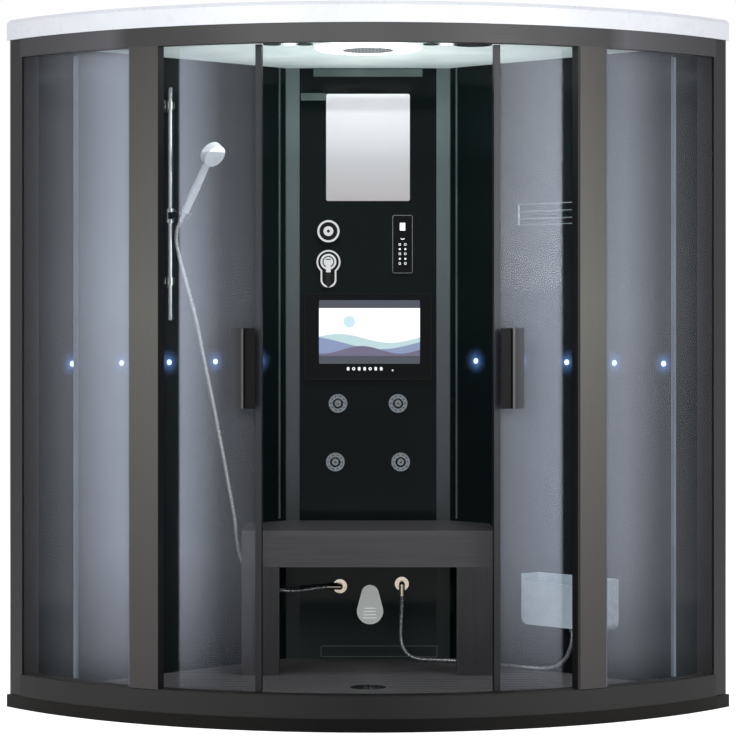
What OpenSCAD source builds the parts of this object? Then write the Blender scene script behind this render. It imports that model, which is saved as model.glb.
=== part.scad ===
// Corner hydromassage shower cabin with curved sliding doors.
// The front faces -Y, the two walls meet at the rear and +Z is up.
// The origin is on the floor, at the centre of the cabin's plan.

/* [Cabin] */
// Length of each rear wall, from the rear corner to the front
wall_len = 1600; // [1560:10:1640]
// Radius of the curved front
front_r = 1450; // [1400:10:1500]
// Overall height
cabin_h = 2150; // [2120:10:2200]
// Width of the flat back that cuts the rear corner off
back_flat_w = 200; // [160:10:240]

/* [Tray] */
// Height of the tray
tray_h = 39; // [37:1:45]
// Thickness of the tray's shell
tray_t = 6; // [4:1:8]
// Depth of the well that holds the slatted floor
well_depth = 12; // [9:1:14]
// Width of the tray's rim at the front, around the well
tray_rim = 84; // [80:2:100]
// Height of the slatted floor above the tray
deck_rise = 10; // [8:1:16]
// Pitch of the floor's slats
slat_pitch = 56; // [48:2:70]
// Width of the gap between two slats
slat_gap = 6; // [4:1:8]
// Distance from the front to the drain's centre
drain_d = 630; // [600:5:660]
// Radius of the drain's cover
drain_r = 56; // [50:1:60]
// Radius of the tray's feet
foot_r = 22; // [18:1:26]

/* [Frame] */
// Height of the threshold rail
sill_h = 68; // [60:1:80]
// Depth of the threshold rail, front to back
sill_d = 62; // [58:1:70]
// Height of the header rail
header_h = 57; // [55:1:66]
// Height of the roof's fascia
roof_h = 64; // [56:1:80]
// Thickness of the roof's shell
roof_t = 6; // [4:1:8]
// Height of the chamfer on the roof's top edge
roof_chamfer = 12; // [6:1:16]
// Thickness of the ceiling panel
ceiling_t = 6; // [4:1:8]
// Width of a front post along the front
post_w = 101; // [90:1:110]
// Distance from the middle of the front to the middle of a front post
post_x = 672; // [655:1:690]
// Depth of the front posts
post_d = 34; // [32:1:38]

/* [Glass] */
// Thickness of the fixed glass and the door glass
glass_t = 6; // [5:0.5:6]
// Thickness of the glass wall panels
wall_t = 14; // [12:1:16]
// Distance from the plan's outline to the inner face of a wall
wall_in = 24; // [22:1:28]

/* [Doors] */
// Width of the leaf that stays behind its front post when the door is shut
leaf_lap = 27; // [20:1:32]
// Distance from the middle to the left leading edge, as stored
open_left = 312.7; // [270:0.1:320]
// Distance from the middle to the right leading edge, as stored
open_right = 371.2; // [312:0.1:375]
// Width of the profile on a leaf's leading edge
edge_w = 18.9; // [15:0.1:22]
// Depth of that profile, front to back
edge_d = 16; // [14:1:18]
// Radius of a door roller
roller_r = 12; // [10:0.5:12.5]
// Width of a door roller
roller_w = 7; // [5:0.5:8]
// Radius of a roller's axle
axle_r = 3; // [2.5:0.1:4]
// Height of a door handle
handle_h = 238; // [200:2:280]
// Height of the handle's centre above the floor
handle_z = 1068; // [1000:2:1140]
// Distance from the glass to the handle
handle_gap = 30; // [24:1:36]

/* [Column] */
// Width of the column panel between its posts
column_w = 470; // [460:2:480]
// Width of each post beside the column
column_post_w = 45; // [40:1:50]
// Thickness of the column panel
column_t = 12; // [10:1:16]
// Width of the mirror
mirror_w = 287; // [240:1:320]
// Distance from the ceiling to the mirror's upper edge
mirror_top_gap = 88.5; // [70:0.5:110]
// Distance from the diverter's plate to the mirror's lower edge
mirror_low_gap = 66.5; // [50:0.5:90]
// Width of the media panel
media_w = 436; // [400:1:450]
// Height of the media panel
media_h = 297; // [280:1:310]
// Height of the media panel's centre above the floor
media_z = 1154.5; // [1150:0.5:1160]
// Width of the keypad
keypad_w = 71; // [60:1:80]
// Height of the keypad
keypad_h = 201; // [180:1:210]
// Distance from the middle to the keypad's centre
keypad_x = 118.5; // [110:0.5:125]
// Height of the keypad's centre above the floor
keypad_z = 1470; // [1460:1:1480]

/* [Valves and jets] */
// Distance from the middle to the valves
valve_x = 135.5; // [125:0.5:145]
// Height of the diverter's centre above the floor
diverter_z = 1514; // [1510:1:1524]
// Radius of the diverter knob
diverter_r = 38; // [32:1:40]
// Height of the mixer's centre above the floor
mixer_z = 1409; // [1405:1:1415]
// Radius of the mixer's cap
mixer_r = 41; // [36:1:43]
// Radius of the valve spindles
spindle_r = 9; // [7:0.5:11]
// Radius of a jet's flange
jet_r = 32; // [28:1:36]
// Distance from the middle to the upper jets
jet_upper_x = 103; // [95:1:115]
// Height of the upper jets above the floor
jet_upper_z = 924; // [900:2:950]
// Distance from the middle to the lower jets
jet_lower_x = 112; // [100:1:125]
// Height of the lower jets above the floor
jet_lower_z = 723; // [700:2:750]

/* [Seat] */
// Width of the seat
seat_w = 826; // [810:2:840]
// Distance from the column's face to the seat's front
seat_d = 453; // [440:1:470]
// Height of the seat above the floor
seat_h = 522; // [500:2:550]
// Thickness of the seat's top
seat_t = 30; // [24:1:36]
// Height of the seat's apron, its top included
apron_h = 119; // [100:1:130]
// Thickness of the apron
apron_t = 14; // [10:1:18]
// Width of each leg
leg_w = 123; // [100:1:140]
// Depth of each leg
leg_d = 60; // [50:1:80]

/* [Left wall] */
// Distance along the wall from the rear corner to the slide bar
bar_u = 985; // [960:5:1010]
// Distance from the slide bar to the wall's face
bar_stand = 45; // [40:1:52]
// Radius of the slide bar
bar_r = 10; // [9:0.5:11]
// Height of the slide bar's lower end above the floor
bar_z0 = 1210; // [1190:5:1230]
// Distance from the ceiling to the slide bar's upper end
bar_top_gap = 103; // [85:1:125]
// Height of the slider above the floor, as stored
slider_z = 1551; // [1530:1:1570]
// Distance from the slide bar to the holder's tilt axis
holder_reach = 66; // [60:1:72]
// Angle that the hand shower leans from the vertical, as stored
handset_lean = 35; // [30:1:38]
// Radius of the hand shower's head
head_r = 39; // [34:1:44]
// Diameter of the two hoses
hose_d = 14; // [12:0.5:15]

/* [Right wall] */
// Distance along the wall from the rear corner to the rack's end
rack_u = 829; // [800:1:840]
// Length of the rack
rack_len = 255; // [220:5:280]
// Depth of the rack
rack_d = 105; // [90:1:120]
// Height of the rack's base above the floor
rack_z = 1522; // [1500:2:1550]
// Distance along the wall from the rear corner to the basin's end
basin_u = 822; // [810:1:830]
// Length of the basin
basin_len = 350; // [320:5:380]
// Depth of the basin
basin_d = 81; // [76:1:90]
// Height of the basin's underside above the floor
basin_z = 206; // [200:1:212]
// Height of the basin
basin_h = 166; // [150:1:180]
// Thickness of the basin's walls
basin_t = 6; // [4:1:8]

/* [Ceiling] */
// Distance from the front of the cabin to the lamp's centre
lamp_d = 610; // [590:5:640]
// Radius of the ceiling lamp
lamp_r = 170; // [150:2:184]
// Thickness of the ceiling lamp
lamp_t = 12; // [10:1:16]
// Radius of the rain shower
rain_r = 80; // [70:1:90]
// Distance from the front of the cabin to the ceiling spots
spots_d = 520; // [500:5:540]
// Radius of the fan's rotor
fan_r = 48; // [40:1:50]

/* [Clearances] */
// Gap between faces that pass each other
run_gap = 0.3; // [0.2:0.05:0.4]
// Radial clearance of a turning fit
turn_fit = 0.06; // [0.03:0.01:0.09]
// Gap at each side of a glass pane in its groove
groove_gap = 0.5; // [0.3:0.1:0.8]
// Gap between the header and the roof over it
lid_gap = 0.1; // [0.05:0.05:0.4]

/* [Hidden] */
$fn = 96;
arc_fn = 240;

// Plan of the cabin
half_w = wall_len / sqrt(2);
sagitta = front_r - sqrt(front_r * front_r - half_w * half_w);
plan_d = half_w + sagitta - back_flat_w / 2;
front_y = -plan_d / 2;
back_y = plan_d / 2;
corner_y = back_y + back_flat_w / 2;
arc_y = front_y + front_r;

// Levels, from the floor up
sill_z1 = tray_h + sill_h;
deck_z = tray_h + deck_rise;
roof_z = cabin_h - roof_h;
header_z = roof_z - header_h;
ceiling_z1 = roof_z - 6;
ceiling_z0 = ceiling_z1 - ceiling_t;

// Radii of the pieces that follow the front arc
frame_r = front_r - 2;
post_r0 = frame_r - post_d;
fixed_r = frame_r - 16;
leaf_r = frame_r - 44;
edge_r0 = leaf_r + glass_t / 2 - edge_d / 2;
shelf_r1 = leaf_r - 5;
header_r0 = leaf_r - 28;
sill_r0 = frame_r - sill_d;

// Arc angles of the front posts and of the leaves; a leaf is built in the
// left door's place, and the right one is turned on by right_open
post_angle = asin(post_x / frame_r);
post_arc = 2 * asin(post_w / 2 / frame_r);
leaf_arc = post_angle - post_arc / 2 + arc_of(leaf_lap);
lead_angle = asin(open_left / leaf_r);
right_open = asin(open_right / leaf_r) - lead_angle;
edge_arc = arc_of(edge_w);

// Header: bottom flange, running shelf on its inner leg, face and top web
flange_h = 9;
shelf_h = 6;
web_h = 8;
leg_t = 6;
face_t = 8;
shelf_z1 = header_z + flange_h + shelf_h;
axle_z = shelf_z1 + run_gap + roller_r;
leaf_z0 = sill_z1 + 3;
edge_z1 = header_z - 2;
leaf_z1 = roof_z - web_h - 4;
groove_depth = 13;

// Column and rear posts
column_y = corner_y - wall_in * sqrt(2) - column_w / 2 - column_post_w;
column_back = column_y + column_t;
column_half = column_w / 2 + column_post_w;
wall_u0 = sqrt(2) * (column_half + wall_in / sqrt(2)) + 3.6;
wall_post_w = 70;
wall_post_in = 48;
wall_u1 = wall_len - wall_post_w;
wall_back = wall_in - wall_t;

// Seat
seat_y0 = column_y - seat_d;

// Slide bar, holder and hand shower, in the left wall's own axes
bar_v = wall_in + bar_stand;
bar_z1 = ceiling_z0 - bar_top_gap;
holder_v = bar_v + holder_reach;
slider_h = 46;
nut_drop = 21.5;
ring_r = 17;
grip_r = 12.4;
bracket_low = 126;
bracket_high = 59;
grip_len = 201;

// Feet: half of them, the others are mirrored
FEET = [[half_w - 281, front_y + 557], [420, front_y + 167],
        [300, back_y - 407], [0, back_y - 97]];

// Drain and waste outlet
drain_y = front_y + drain_d;
trap_r = 45;
outlet_r = 20;
outlet_len = 15;

// Walls and posts
skin_t = 6;
screw_r = 2;
screw_low = 81;
screw_high = 114;
screw_pitch = (ceiling_z0 - screw_high - tray_h - screw_low) / 3;
SCREW_Z = [for (i = [0 : 3]) tray_h + screw_low + i * screw_pitch];

// The fixed panes end this far inside the wall posts, at this arc angle
pane_seat = 13.7;
fixed_end = acos((wall_in + wall_post_in - pane_seat
                  - (corner_y - arc_y) / sqrt(2)) / (fixed_r + glass_t)) - 45;
rail_half = fixed_end + 3;

// Fittings on the column: [x, z] of the jets and of the hose elbows
JETS = [[-jet_upper_x, jet_upper_z], [jet_upper_x, jet_upper_z],
        [-jet_lower_x, jet_lower_z], [jet_lower_x, jet_lower_z]];
ELBOWS = [[-96, 297], [116, 305]];
jet_shank_r = jet_r - 8;
ball_r = jet_r - 14;
feed_r = 8;
steam_x = 7;
steam_pipe_z = 240;
steam_pipe_r = 10;
gen_w = 220;
gen_d = 120;
gen_h = 280;
gen_z = 420;
mirror_z0 = diverter_z + diverter_r + mirror_low_gap;
mirror_h = ceiling_z0 - mirror_top_gap - mirror_z0;
screen_x = 5;
screen_w = 346;
screen_h = 218;
screen_dz = 14.5;

// Valves and outlets
plate_h = 8;
cap_h = 32;
cap_r = 28;
lever_w = 16;
lever_in = 10;
lever_len = 78;
knuckle_r = 10;
nozzle_r = 4;
ball_out = 6;
elbow_out = 30;

// Pipes behind the column
pipe_r = 10.5;
pipe_y = 12;
inlet_x = 60;
inlet_z = 1300;
inlet_r = 10.48;
inlet_len = 15;

// Rack rails above its base
RACK_RAILS = [20, 44, 68];

// Doors: hangers, rollers and handle
hanger_in = 86;
HANGER_ANGLES = [lead_angle + arc_of(hanger_in),
                 lead_angle + leaf_arc - arc_of(hanger_in)];
shoulder_r = 8;
nut_h = 5;
head_h = 3;
bolt_r = 5;
roller_r0 = leaf_r - 14;
grip_in = 61.5;
grip_w = 36.8;
grip_plate_in = 11.5;
grip_angle = lead_angle + arc_of(grip_in);
standoff_dz = 85;
knob_r = 14;
knob_h = 14;

// Hose routes, from the elbow to the far end
tube_sides = 8;

// Hose inlet under the basin: along it, out from the wall, and its length
nipple_u = 190.03;
nipple_v = 43.34;
nipple_len = 14;
SHOWER_ROUTE = [
    [-134, 543, 297], [-180, 537, 293], [-230, 516, 288], [-280, 486, 290],
    [-330, 452, 303], [-375, 424, 330], [-410, 404, 370], [-430, 394, 415],
    [-440, 388, 465], [-448, 376, 540], [-464, 350, 640], [-484, 316, 760],
    [-510, 274, 910], [-540, 228, 1070], [-566, 188, 1210], [-590, 160, 1310],
    [-608, 146, 1380], [-620, 137, 1430], [-626, 128, 1470],
    [-622, 116, 1509], [-610, 104, 1533]
];
FOOT_ROUTE = [
    [116, 543, 267], [116, 543, 235], [114, 540, 190], [112, 530, 140],
    [118, 512, 98], [140, 494, 70], [175, 482, 58], [220, 474, 56.5],
    [270, 458, 56.5], [320, 428, 56.5], [370, 388, 56.5], [425, 345, 56.5],
    [480, 305, 56.5], [530, 268, 56.5], [575, 232, 58], [618, 192, 70],
    [648, 160, 100], [663, 136, 140], [668, 125, 170], [668, 124, 192]
];

// Ceiling: [x, radius] of the speakers
SPEAKERS = [[-300, 28], [-197, 25], [197, 25]];
stem_r = 10;
lamp_y = front_y + lamp_d;
spots_y = front_y + spots_d;
fan_x = 328;
fan_z = ceiling_z1 + 12;
spot_x = 245;
led_u = 544;
led_pitch = 203.7;
led_z = 1071;

// Arc angle of a length along a leaf
function arc_of(length) = length / leaf_r * 180 / PI;

// Plan outline, drawn in from the walls and from the front
function plan_points(wall_inset) =
    let (c = corner_y - wall_inset * sqrt(2),
         b = back_y - wall_inset,
         s = half_w - wall_inset)
    [[c - b, b], [s, c - s], [s, front_y - 20],
     [-s, front_y - 20], [-s, c - s], [b - c, b]];

// Slab of the cabin's plan between two levels
module slab(z0, z1, wall_inset, front_inset) {
    translate([0, 0, z0])
        intersection() {
            translate([0, arc_y, 0])
                cylinder(h = z1 - z0, r = front_r - front_inset, $fn = arc_fn);
            linear_extrude(z1 - z0)
                polygon(plan_points(wall_inset));
        }
}

// Curved bar that follows the front arc; angles are from the middle
module arc_band(r0, r1, a0, a1, z0, z1) {
    translate([0, arc_y, z0])
        rotate([0, 0, a0 - 90])
            rotate_extrude(angle = a1 - a0, $fn = arc_fn)
                translate([r0, 0])
                    square([r1 - r0, z1 - z0]);
}

// Axes of a point on the arc: X points out along the radius
module at_arc(angle, z) {
    translate([0, arc_y, z])
        rotate([0, 0, angle - 90])
            children();
}

// Axes of the right wall: X runs to the front, Y out of the cabin
module right_wall() {
    translate([0, corner_y, 0])
        rotate([0, 0, -45])
            children();
}

module left_wall() {
    mirror([1, 0, 0])
        right_wall()
            children();
}

module both_sides() {
    children();
    mirror([1, 0, 0])
        children();
}

// Round bar along local Y, from y0 to y1
module rod_y(r, y0, y1) {
    translate([0, y0, 0])
        rotate([-90, 0, 0])
            cylinder(h = y1 - y0, r = r);
}

// Plate in the XZ plane with rounded corners, from y0 to y1
module round_plate(w, h, r, y0, y1) {
    translate([0, y0, 0])
        rotate([-90, 0, 0])
            linear_extrude(y1 - y0)
                union() {
                    square([w - 2 * r, h], center = true);
                    square([w, h - 2 * r], center = true);
                    for (x = [-1, 1], y = [-1, 1])
                        translate([x * (w / 2 - r), y * (h / 2 - r)])
                            circle(r = r, $fn = 32);
                }
}

// Block that a front wall post fills, at the front end of the right wall
module wall_post_block() {
    intersection() {
        right_wall()
            translate([wall_u1, -wall_in - wall_post_in, tray_h])
                cube([wall_post_w - 4, wall_post_in + 12, roof_z - tray_h]);
        translate([0, arc_y, tray_h])
            cylinder(h = roof_z - tray_h, r = frame_r, $fn = arc_fn);
    }
}

module shower_tray() {
    color("#1d1b1a")
        difference() {
            slab(0, tray_h, 0, 0);
            slab(-1, tray_h - well_depth - tray_t, tray_t, tray_t);
            intersection() {
                slab(tray_h - well_depth, tray_h + 1, wall_in + 2, tray_rim);
                translate([-half_w, front_y, 0])
                    cube([2 * half_w, column_y - 2 - front_y, cabin_h]);
            }
            translate([0, drain_y, 0])
                cylinder(h = tray_h, r = trap_r + run_gap);
        }
}

module tray_feet() {
    stud_r = foot_r / 4;
    top = tray_h - well_depth - tray_t;
    color("#3a3a3a")
        for (p = FEET,
             side = [-1, 1])
            if (p[0] > 0 || side > 0)
                translate([side * p[0], p[1], 0]) {
                    cylinder(h = 8, r = foot_r);
                    cylinder(h = top, r = stud_r);
                }
}

module floor_deck() {
    z0 = tray_h - well_depth;
    color("#2b2c2c")
        difference() {
            intersection() {
                slab(z0, deck_z, wall_in + 4, tray_rim + 2);
                translate([-half_w, front_y, 0])
                    cube([2 * half_w, column_y - 4 - front_y, cabin_h]);
            }
            for (y = [front_y + tray_rim + slat_pitch : slat_pitch : column_y - 20])
                translate([-half_w, y, deck_z - deck_rise + 2])
                    cube([2 * half_w, slat_gap, deck_rise]);
            translate([0, drain_y, 0])
                cylinder(h = cabin_h, r = drain_r + 2);
        }
}

// Drain: a cover with slots, and the trap's body under it
module drain() {
    z0 = tray_h - well_depth;
    color("#9a9c9e") {
        translate([0, drain_y, z0])
            difference() {
                cylinder(h = deck_z - z0, r = drain_r);
                translate([0, 0, -1])
                    cylinder(h = deck_z - z0 - 3, r = drain_r - 4);
                for (a = [0 : 45 : 315])
                    rotate([0, 0, a])
                        translate([18, -3, 0])
                            cube([26, 6, 40]);
            }
        translate([0, drain_y, 0])
            difference() {
                union() {
                    translate([0, 0, outlet_len])
                        cylinder(h = z0 - outlet_len, r = trap_r);
                    translate([0, 0, outlet_len])
                        cylinder(h = z0 - tray_t - outlet_len, r = trap_r + 10);
                    translate([0, 0, 1])
                        cylinder(h = outlet_len, r = outlet_r);
                }
                translate([0, 0, -1])
                    cylinder(h = tray_h, r = outlet_r - 3);
            }
    }
}

module threshold_rail() {
    g0 = leaf_r - 3;
    g1 = leaf_r + glass_t + 3;
    color("#4b4947")
        difference() {
            translate([0, arc_y, 0])
                rotate([0, 0, -90 - rail_half])
                    rotate_extrude(angle = 2 * rail_half, $fn = arc_fn)
                        polygon([
                            [sill_r0, tray_h], [frame_r, tray_h],
                            [frame_r, sill_z1 - 3], [frame_r - 3, sill_z1],
                            [g1, sill_z1], [g1, sill_z1 - groove_depth],
                            [g0, sill_z1 - groove_depth], [g0, sill_z1],
                            [sill_r0 + 3, sill_z1], [sill_r0, sill_z1 - 3]
                        ]);
            rail_ends();
        }
}

// What the wall posts and walls take from the ends of a curved rail
module rail_ends() {
    both_sides()
        right_wall()
            translate([0, -wall_in - wall_post_in, 0])
                cube([2 * wall_len, wall_len, cabin_h]);
}

module header_rail() {
    color("#4b4b49")
        difference() {
            translate([0, arc_y, 0])
                rotate([0, 0, -90 - rail_half])
                    rotate_extrude(angle = 2 * rail_half, $fn = arc_fn)
                        polygon([
                            [post_r0, header_z], [frame_r, header_z],
                            [frame_r, roof_z - lid_gap],
                            [header_r0, roof_z - lid_gap],
                            [header_r0, shelf_z1 - shelf_h],
                            [shelf_r1, shelf_z1 - shelf_h],
                            [shelf_r1, shelf_z1],
                            [header_r0 + leg_t, shelf_z1],
                            [header_r0 + leg_t, roof_z - web_h],
                            [frame_r - face_t, roof_z - web_h],
                            [frame_r - face_t, header_z + flange_h],
                            [post_r0, header_z + flange_h]
                        ]);
            rail_ends();
        }
}

module roof_shell() {
    rim_h = 6;
    color("#f3f5fb")
        difference() {
            union() {
                slab(roof_z, cabin_h - roof_chamfer, 0, 0);
                intersection() {
                    translate([0, arc_y, cabin_h - roof_chamfer])
                        cylinder(h = roof_chamfer, r1 = front_r,
                                 r2 = front_r - roof_chamfer, $fn = arc_fn);
                    slab(cabin_h - roof_chamfer, cabin_h, 0, 0);
                }
            }
            slab(roof_z + rim_h, cabin_h - roof_t - 6, roof_t, roof_t + 8);
            slab(roof_z - 1, roof_z + rim_h + 1, wall_in + 4, sill_d + 4);
        }
}

module ceiling_panel() {
    color("#bcccca")
        difference() {
            intersection() {
                slab(ceiling_z0, ceiling_z1, wall_in,
                     front_r - header_r0 + run_gap);
                translate([-half_w, front_y, 0])
                    cube([2 * half_w, column_back - front_y, cabin_h]);
            }
            translate([0, lamp_y, 0])
                cylinder(h = cabin_h, r = stem_r + 1);
            for (s = SPEAKERS)
                translate([s[0], spots_y, 0])
                    cylinder(h = cabin_h, r = s[1] - 5);
            translate([fan_x, spots_y, 0])
                cylinder(h = cabin_h, r = fan_r + 6);
            both_sides()
                wall_post_block();
        }
}

// Glass panel of the right wall, with shallow pockets in its back
module wall_panel() {
    mid = (wall_u0 + wall_u1) / 2;
    border = 50;
    z0 = tray_h + border;
    right_wall()
        difference() {
            translate([wall_u0, -wall_in, tray_h])
                cube([wall_u1 - wall_u0, wall_t, roof_z - tray_h]);
            for (u = [wall_u0 + border, mid + border / 2])
                translate([u, -wall_in + skin_t, z0])
                    cube([(wall_u1 - wall_u0 - 3 * border) / 2, wall_t,
                          roof_z - border - z0]);
        }
}

module wall_left() {
    color("#101414")
        mirror([1, 0, 0])
            wall_panel();
}

module wall_right() {
    color("#101414")
        wall_panel();
}

// Profile beside the column that holds the wall panel's rear edge
module column_post() {
    w = column_w / 2;
    c = corner_y - wall_back * sqrt(2);
    u = wall_u0 / sqrt(2);
    difference() {
        translate([0, 0, tray_h])
            linear_extrude(ceiling_z0 - tray_h)
                polygon([
                    [w, column_y],
                    [column_half, column_y],
                    [u - wall_in / sqrt(2), corner_y - u - wall_in / sqrt(2)],
                    [u - wall_back / sqrt(2), corner_y - u - wall_back / sqrt(2)],
                    [c - column_y - 27, column_y + 27],
                    [w, column_y + 27]
                ]);
        for (z = SCREW_Z)
            translate([w + column_post_w / 2, 0, z])
                rod_y(screw_r + 0.1, column_y - 1, column_y + 12);
    }
}

module wall_posts() {
    color("#3b3b3b")
        both_sides() {
            column_post();
            difference() {
                wall_post_block();
                arc_band(fixed_r - groove_gap, fixed_r + glass_t + groove_gap,
                         fixed_end - 1.5, fixed_end + 0.15, sill_z1, header_z);
            }
        }
}

module front_posts() {
    a0 = post_angle - post_arc / 2;
    a1 = post_angle + post_arc / 2;
    color("#575452")
        both_sides()
            difference() {
                arc_band(post_r0, frame_r, a0, a1, sill_z1, header_z);
                arc_band(fixed_r - groove_gap, fixed_r + glass_t + groove_gap,
                         a1 - 0.75, a1 + 1, sill_z1 - 1, header_z + 1);
            }
}

module fixed_glass() {
    a0 = post_angle + post_arc / 2 - 0.7;
    color("#6f7a86", 0.4)
        both_sides()
            arc_band(fixed_r, fixed_r + glass_t, a0, fixed_end,
                     sill_z1, header_z);
}

// Column panel with its holes for spindles, jets, elbows and steam
module column_panel() {
    color("#141c1b")
        difference() {
            translate([-column_w / 2, column_y, tray_h])
                cube([column_w, column_t, ceiling_z0 - tray_h]);
            for (z = [diverter_z, mixer_z])
                translate([-valve_x, 0, z])
                    rod_y(spindle_r + 0.5, column_y - 1, column_back + 1);
            for (j = JETS)
                translate([j[0], 0, j[1]])
                    rod_y(jet_shank_r + 0.3, column_y - 1, column_back + 1);
            for (e = ELBOWS)
                translate([e[0], 0, e[1]])
                    rod_y(feed_r + 0.3, column_y - 1, column_back + 1);
            translate([steam_x, 0, steam_pipe_z])
                rod_y(steam_pipe_r + 0.3, column_y - 1, column_back + 1);
        }
}

module mirror_plate() {
    color("#c4ccd0")
        translate([0, 0, mirror_z0 + mirror_h / 2])
            round_plate(mirror_w, mirror_h, 6, column_y - 5, column_y);
}

module keypad() {
    color("#1a1d20")
        translate([keypad_x, 0, keypad_z])
            difference() {
                round_plate(keypad_w, keypad_h, 8, column_y - 8, column_y);
                round_plate(keypad_w - 8, keypad_h - 8, 5,
                                column_y - 9, column_y - 7);
            }
}

module media_bezel() {
    color("#1a1c1e")
        translate([0, 0, media_z])
            difference() {
                round_plate(media_w, media_h, 10, column_y - 16, column_y);
                translate([screen_x, 0, screen_dz])
                    round_plate(screen_w + 1, screen_h + 1, 4,
                                column_y - 17, column_y - 10);
            }
}

module media_screen() {
    color("#e9ecef")
        translate([screen_x, 0, media_z + screen_dz])
            round_plate(screen_w, screen_h, 4, column_y - 14, column_y - 10);
}

// Base plates of the two valves: a ring above, a keyhole plate below
module valve_plates() {
    bore = spindle_r + turn_fit;
    tongue_w = 54;
    tongue_z = 87;
    color("#c9ccce")
        translate([-valve_x, 0, 0]) {
            translate([0, 0, diverter_z])
                difference() {
                    rod_y(diverter_r - 4, column_y - plate_h, column_y);
                    rod_y(bore, column_y - plate_h - 1, column_y + 1);
                }
            translate([0, 0, mixer_z])
                difference() {
                    union() {
                        rod_y(mixer_r, column_y - plate_h, column_y);
                        translate([-tongue_w / 2, column_y - plate_h, -tongue_z])
                            cube([tongue_w, plate_h, tongue_z]);
                    }
                    rod_y(bore, column_y - plate_h - 1, column_y + 1);
                }
        }
}

module mixer_cap() {
    y0 = column_y - plate_h - cap_h;
    slot = lever_w / 2 + run_gap;
    color("#202324")
        translate([-valve_x, 0, mixer_z]) {
            difference() {
                rod_y(cap_r, y0, column_y - plate_h - run_gap);
                translate([-slot, y0 - 1, -cap_r - 1])
                    cube([2 * slot, knuckle_r + lever_in + 2,
                          cap_r + knuckle_r + 3]);
            }
            rod_y(spindle_r, column_y - plate_h - 1, column_back - run_gap);
            translate([-cap_r + 6, y0 + lever_in, 0])
                rotate([0, 90, 0])
                    cylinder(h = 2 * cap_r - 12, r = axle_r);
        }
}

module mixer_lever() {
    y0 = column_y - plate_h - cap_h;
    arm_t = 9;
    color("#d4d7d9")
        translate([-valve_x, y0 + lever_in, mixer_z])
            difference() {
                union() {
                    translate([-lever_w / 2, 0, 0])
                        rotate([0, 90, 0])
                            cylinder(h = lever_w, r = knuckle_r);
                    translate([-lever_w / 2, -knuckle_r, -lever_len])
                        cube([lever_w, arm_t, lever_len]);
                    translate([0, -knuckle_r, -lever_len])
                        rotate([-90, 0, 0])
                            cylinder(h = arm_t, r = lever_w / 2);
                }
                translate([-lever_w, 0, 0])
                    rotate([0, 90, 0])
                        cylinder(h = 2 * lever_w, r = axle_r + turn_fit);
            }
}

module diverter_knob() {
    y1 = column_y - plate_h - run_gap;
    color("#26292a")
        translate([-valve_x, 0, diverter_z]) {
            difference() {
                rod_y(diverter_r, y1 - 16, y1);
                for (a = [0 : 60 : 300])
                    rotate([0, a, 0])
                        translate([diverter_r + 3, 0, 0])
                            rod_y(7, y1 - 17, y1 - 4);
            }
            rod_y(17, y1 - 24, y1 - 15);
            rod_y(spindle_r, y1 - 1, column_back - run_gap);
        }
}

// Flange and shank of each jet, with the seat for its ball
module jet_bodies() {
    color("#a9adb0")
        for (j = JETS)
            translate([j[0], 0, j[1]])
                difference() {
                    union() {
                        rod_y(jet_r, column_y - 8, column_y);
                        rod_y(jet_shank_r, column_y - 1, column_back);
                    }
                    rod_y(ball_r + run_gap, column_y - 9, column_back + 1);
                }
}

module jet_nozzle(j) {
    color("#8e9294")
        translate([j[0], column_y - ball_out, j[1]])
            rotate([90, 0, 0])
                rotate_extrude()
                    intersection() {
                        circle(r = ball_r);
                        translate([nozzle_r, -ball_r])
                            square([ball_r, 2 * ball_r - 4]);
                    }
}

// Egg-shaped steam outlet with slots in its lower part
module steam_outlet() {
    low_r = 45;
    top_r = 30;
    low_z = 167 + low_r;
    top_z = 301 - top_r;
    tilt = asin((low_r - top_r) / (top_z - low_z));
    // The web's sides lie this far inside the circles' tangents
    web_in = 0.2;
    color("#c8ccc6")
        translate([steam_x, 0, 0])
            difference() {
                for (s = [0, 1]) {
                    t = s * 7;
                    translate([0, column_y, 0])
                        rotate([90, 0, 0])
                            linear_extrude(12 + s * 8)
                                union() {
                                    translate([0, low_z]) circle(r = low_r - t);
                                    translate([0, top_z]) circle(r = top_r - t);
                                    polygon([
                                        for (e = [[1, low_z, low_r], [1, top_z, top_r],
                                                  [-1, top_z, top_r], [-1, low_z, low_r]])
                                            [e[0] * (e[2] - t - web_in) * cos(tilt),
                                             e[1] + (e[2] - t - web_in) * sin(tilt)]
                                    ]);
                                }
                }
                for (i = [0 : 3])
                    translate([-24 + i * 2, column_y - 21, low_z - 24 + i * 11])
                        cube([48 - i * 4, 12, 4]);
                translate([0, 0, steam_pipe_z])
                    rod_y(steam_pipe_r, column_y - 10, column_y + 1);
            }
}

module hose_elbows() {
    d = elbow_out;
    r = hose_d / 2 + 3;
    color("#d2d5d7")
        for (i = [0, 1])
            translate([ELBOWS[i][0], 0, ELBOWS[i][1]]) {
                rod_y(24, column_y - 6, column_y);
                rod_y(feed_r, column_y - 5, column_back + pipe_y - pipe_r);
                rod_y(r, column_y - d, column_y - 5);
                translate([0, column_y - d, 0]) {
                    sphere(r = r);
                    rotate(i == 0 ? [0, -90, 0] : [180, 0, 0])
                        cylinder(h = 38, r = r);
                }
            }
}

module ceiling_lamp() {
    color("#eef6f4")
        translate([0, lamp_y, ceiling_z0 - lamp_t])
            difference() {
                union() {
                    translate([0, 0, lamp_t / 2])
                        cylinder(h = lamp_t / 2, r = lamp_r);
                    cylinder(h = lamp_t, r = lamp_r - 10);
                }
                translate([0, 0, -1])
                    cylinder(h = lamp_t + 2, r = rain_r + 1);
            }
}

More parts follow.
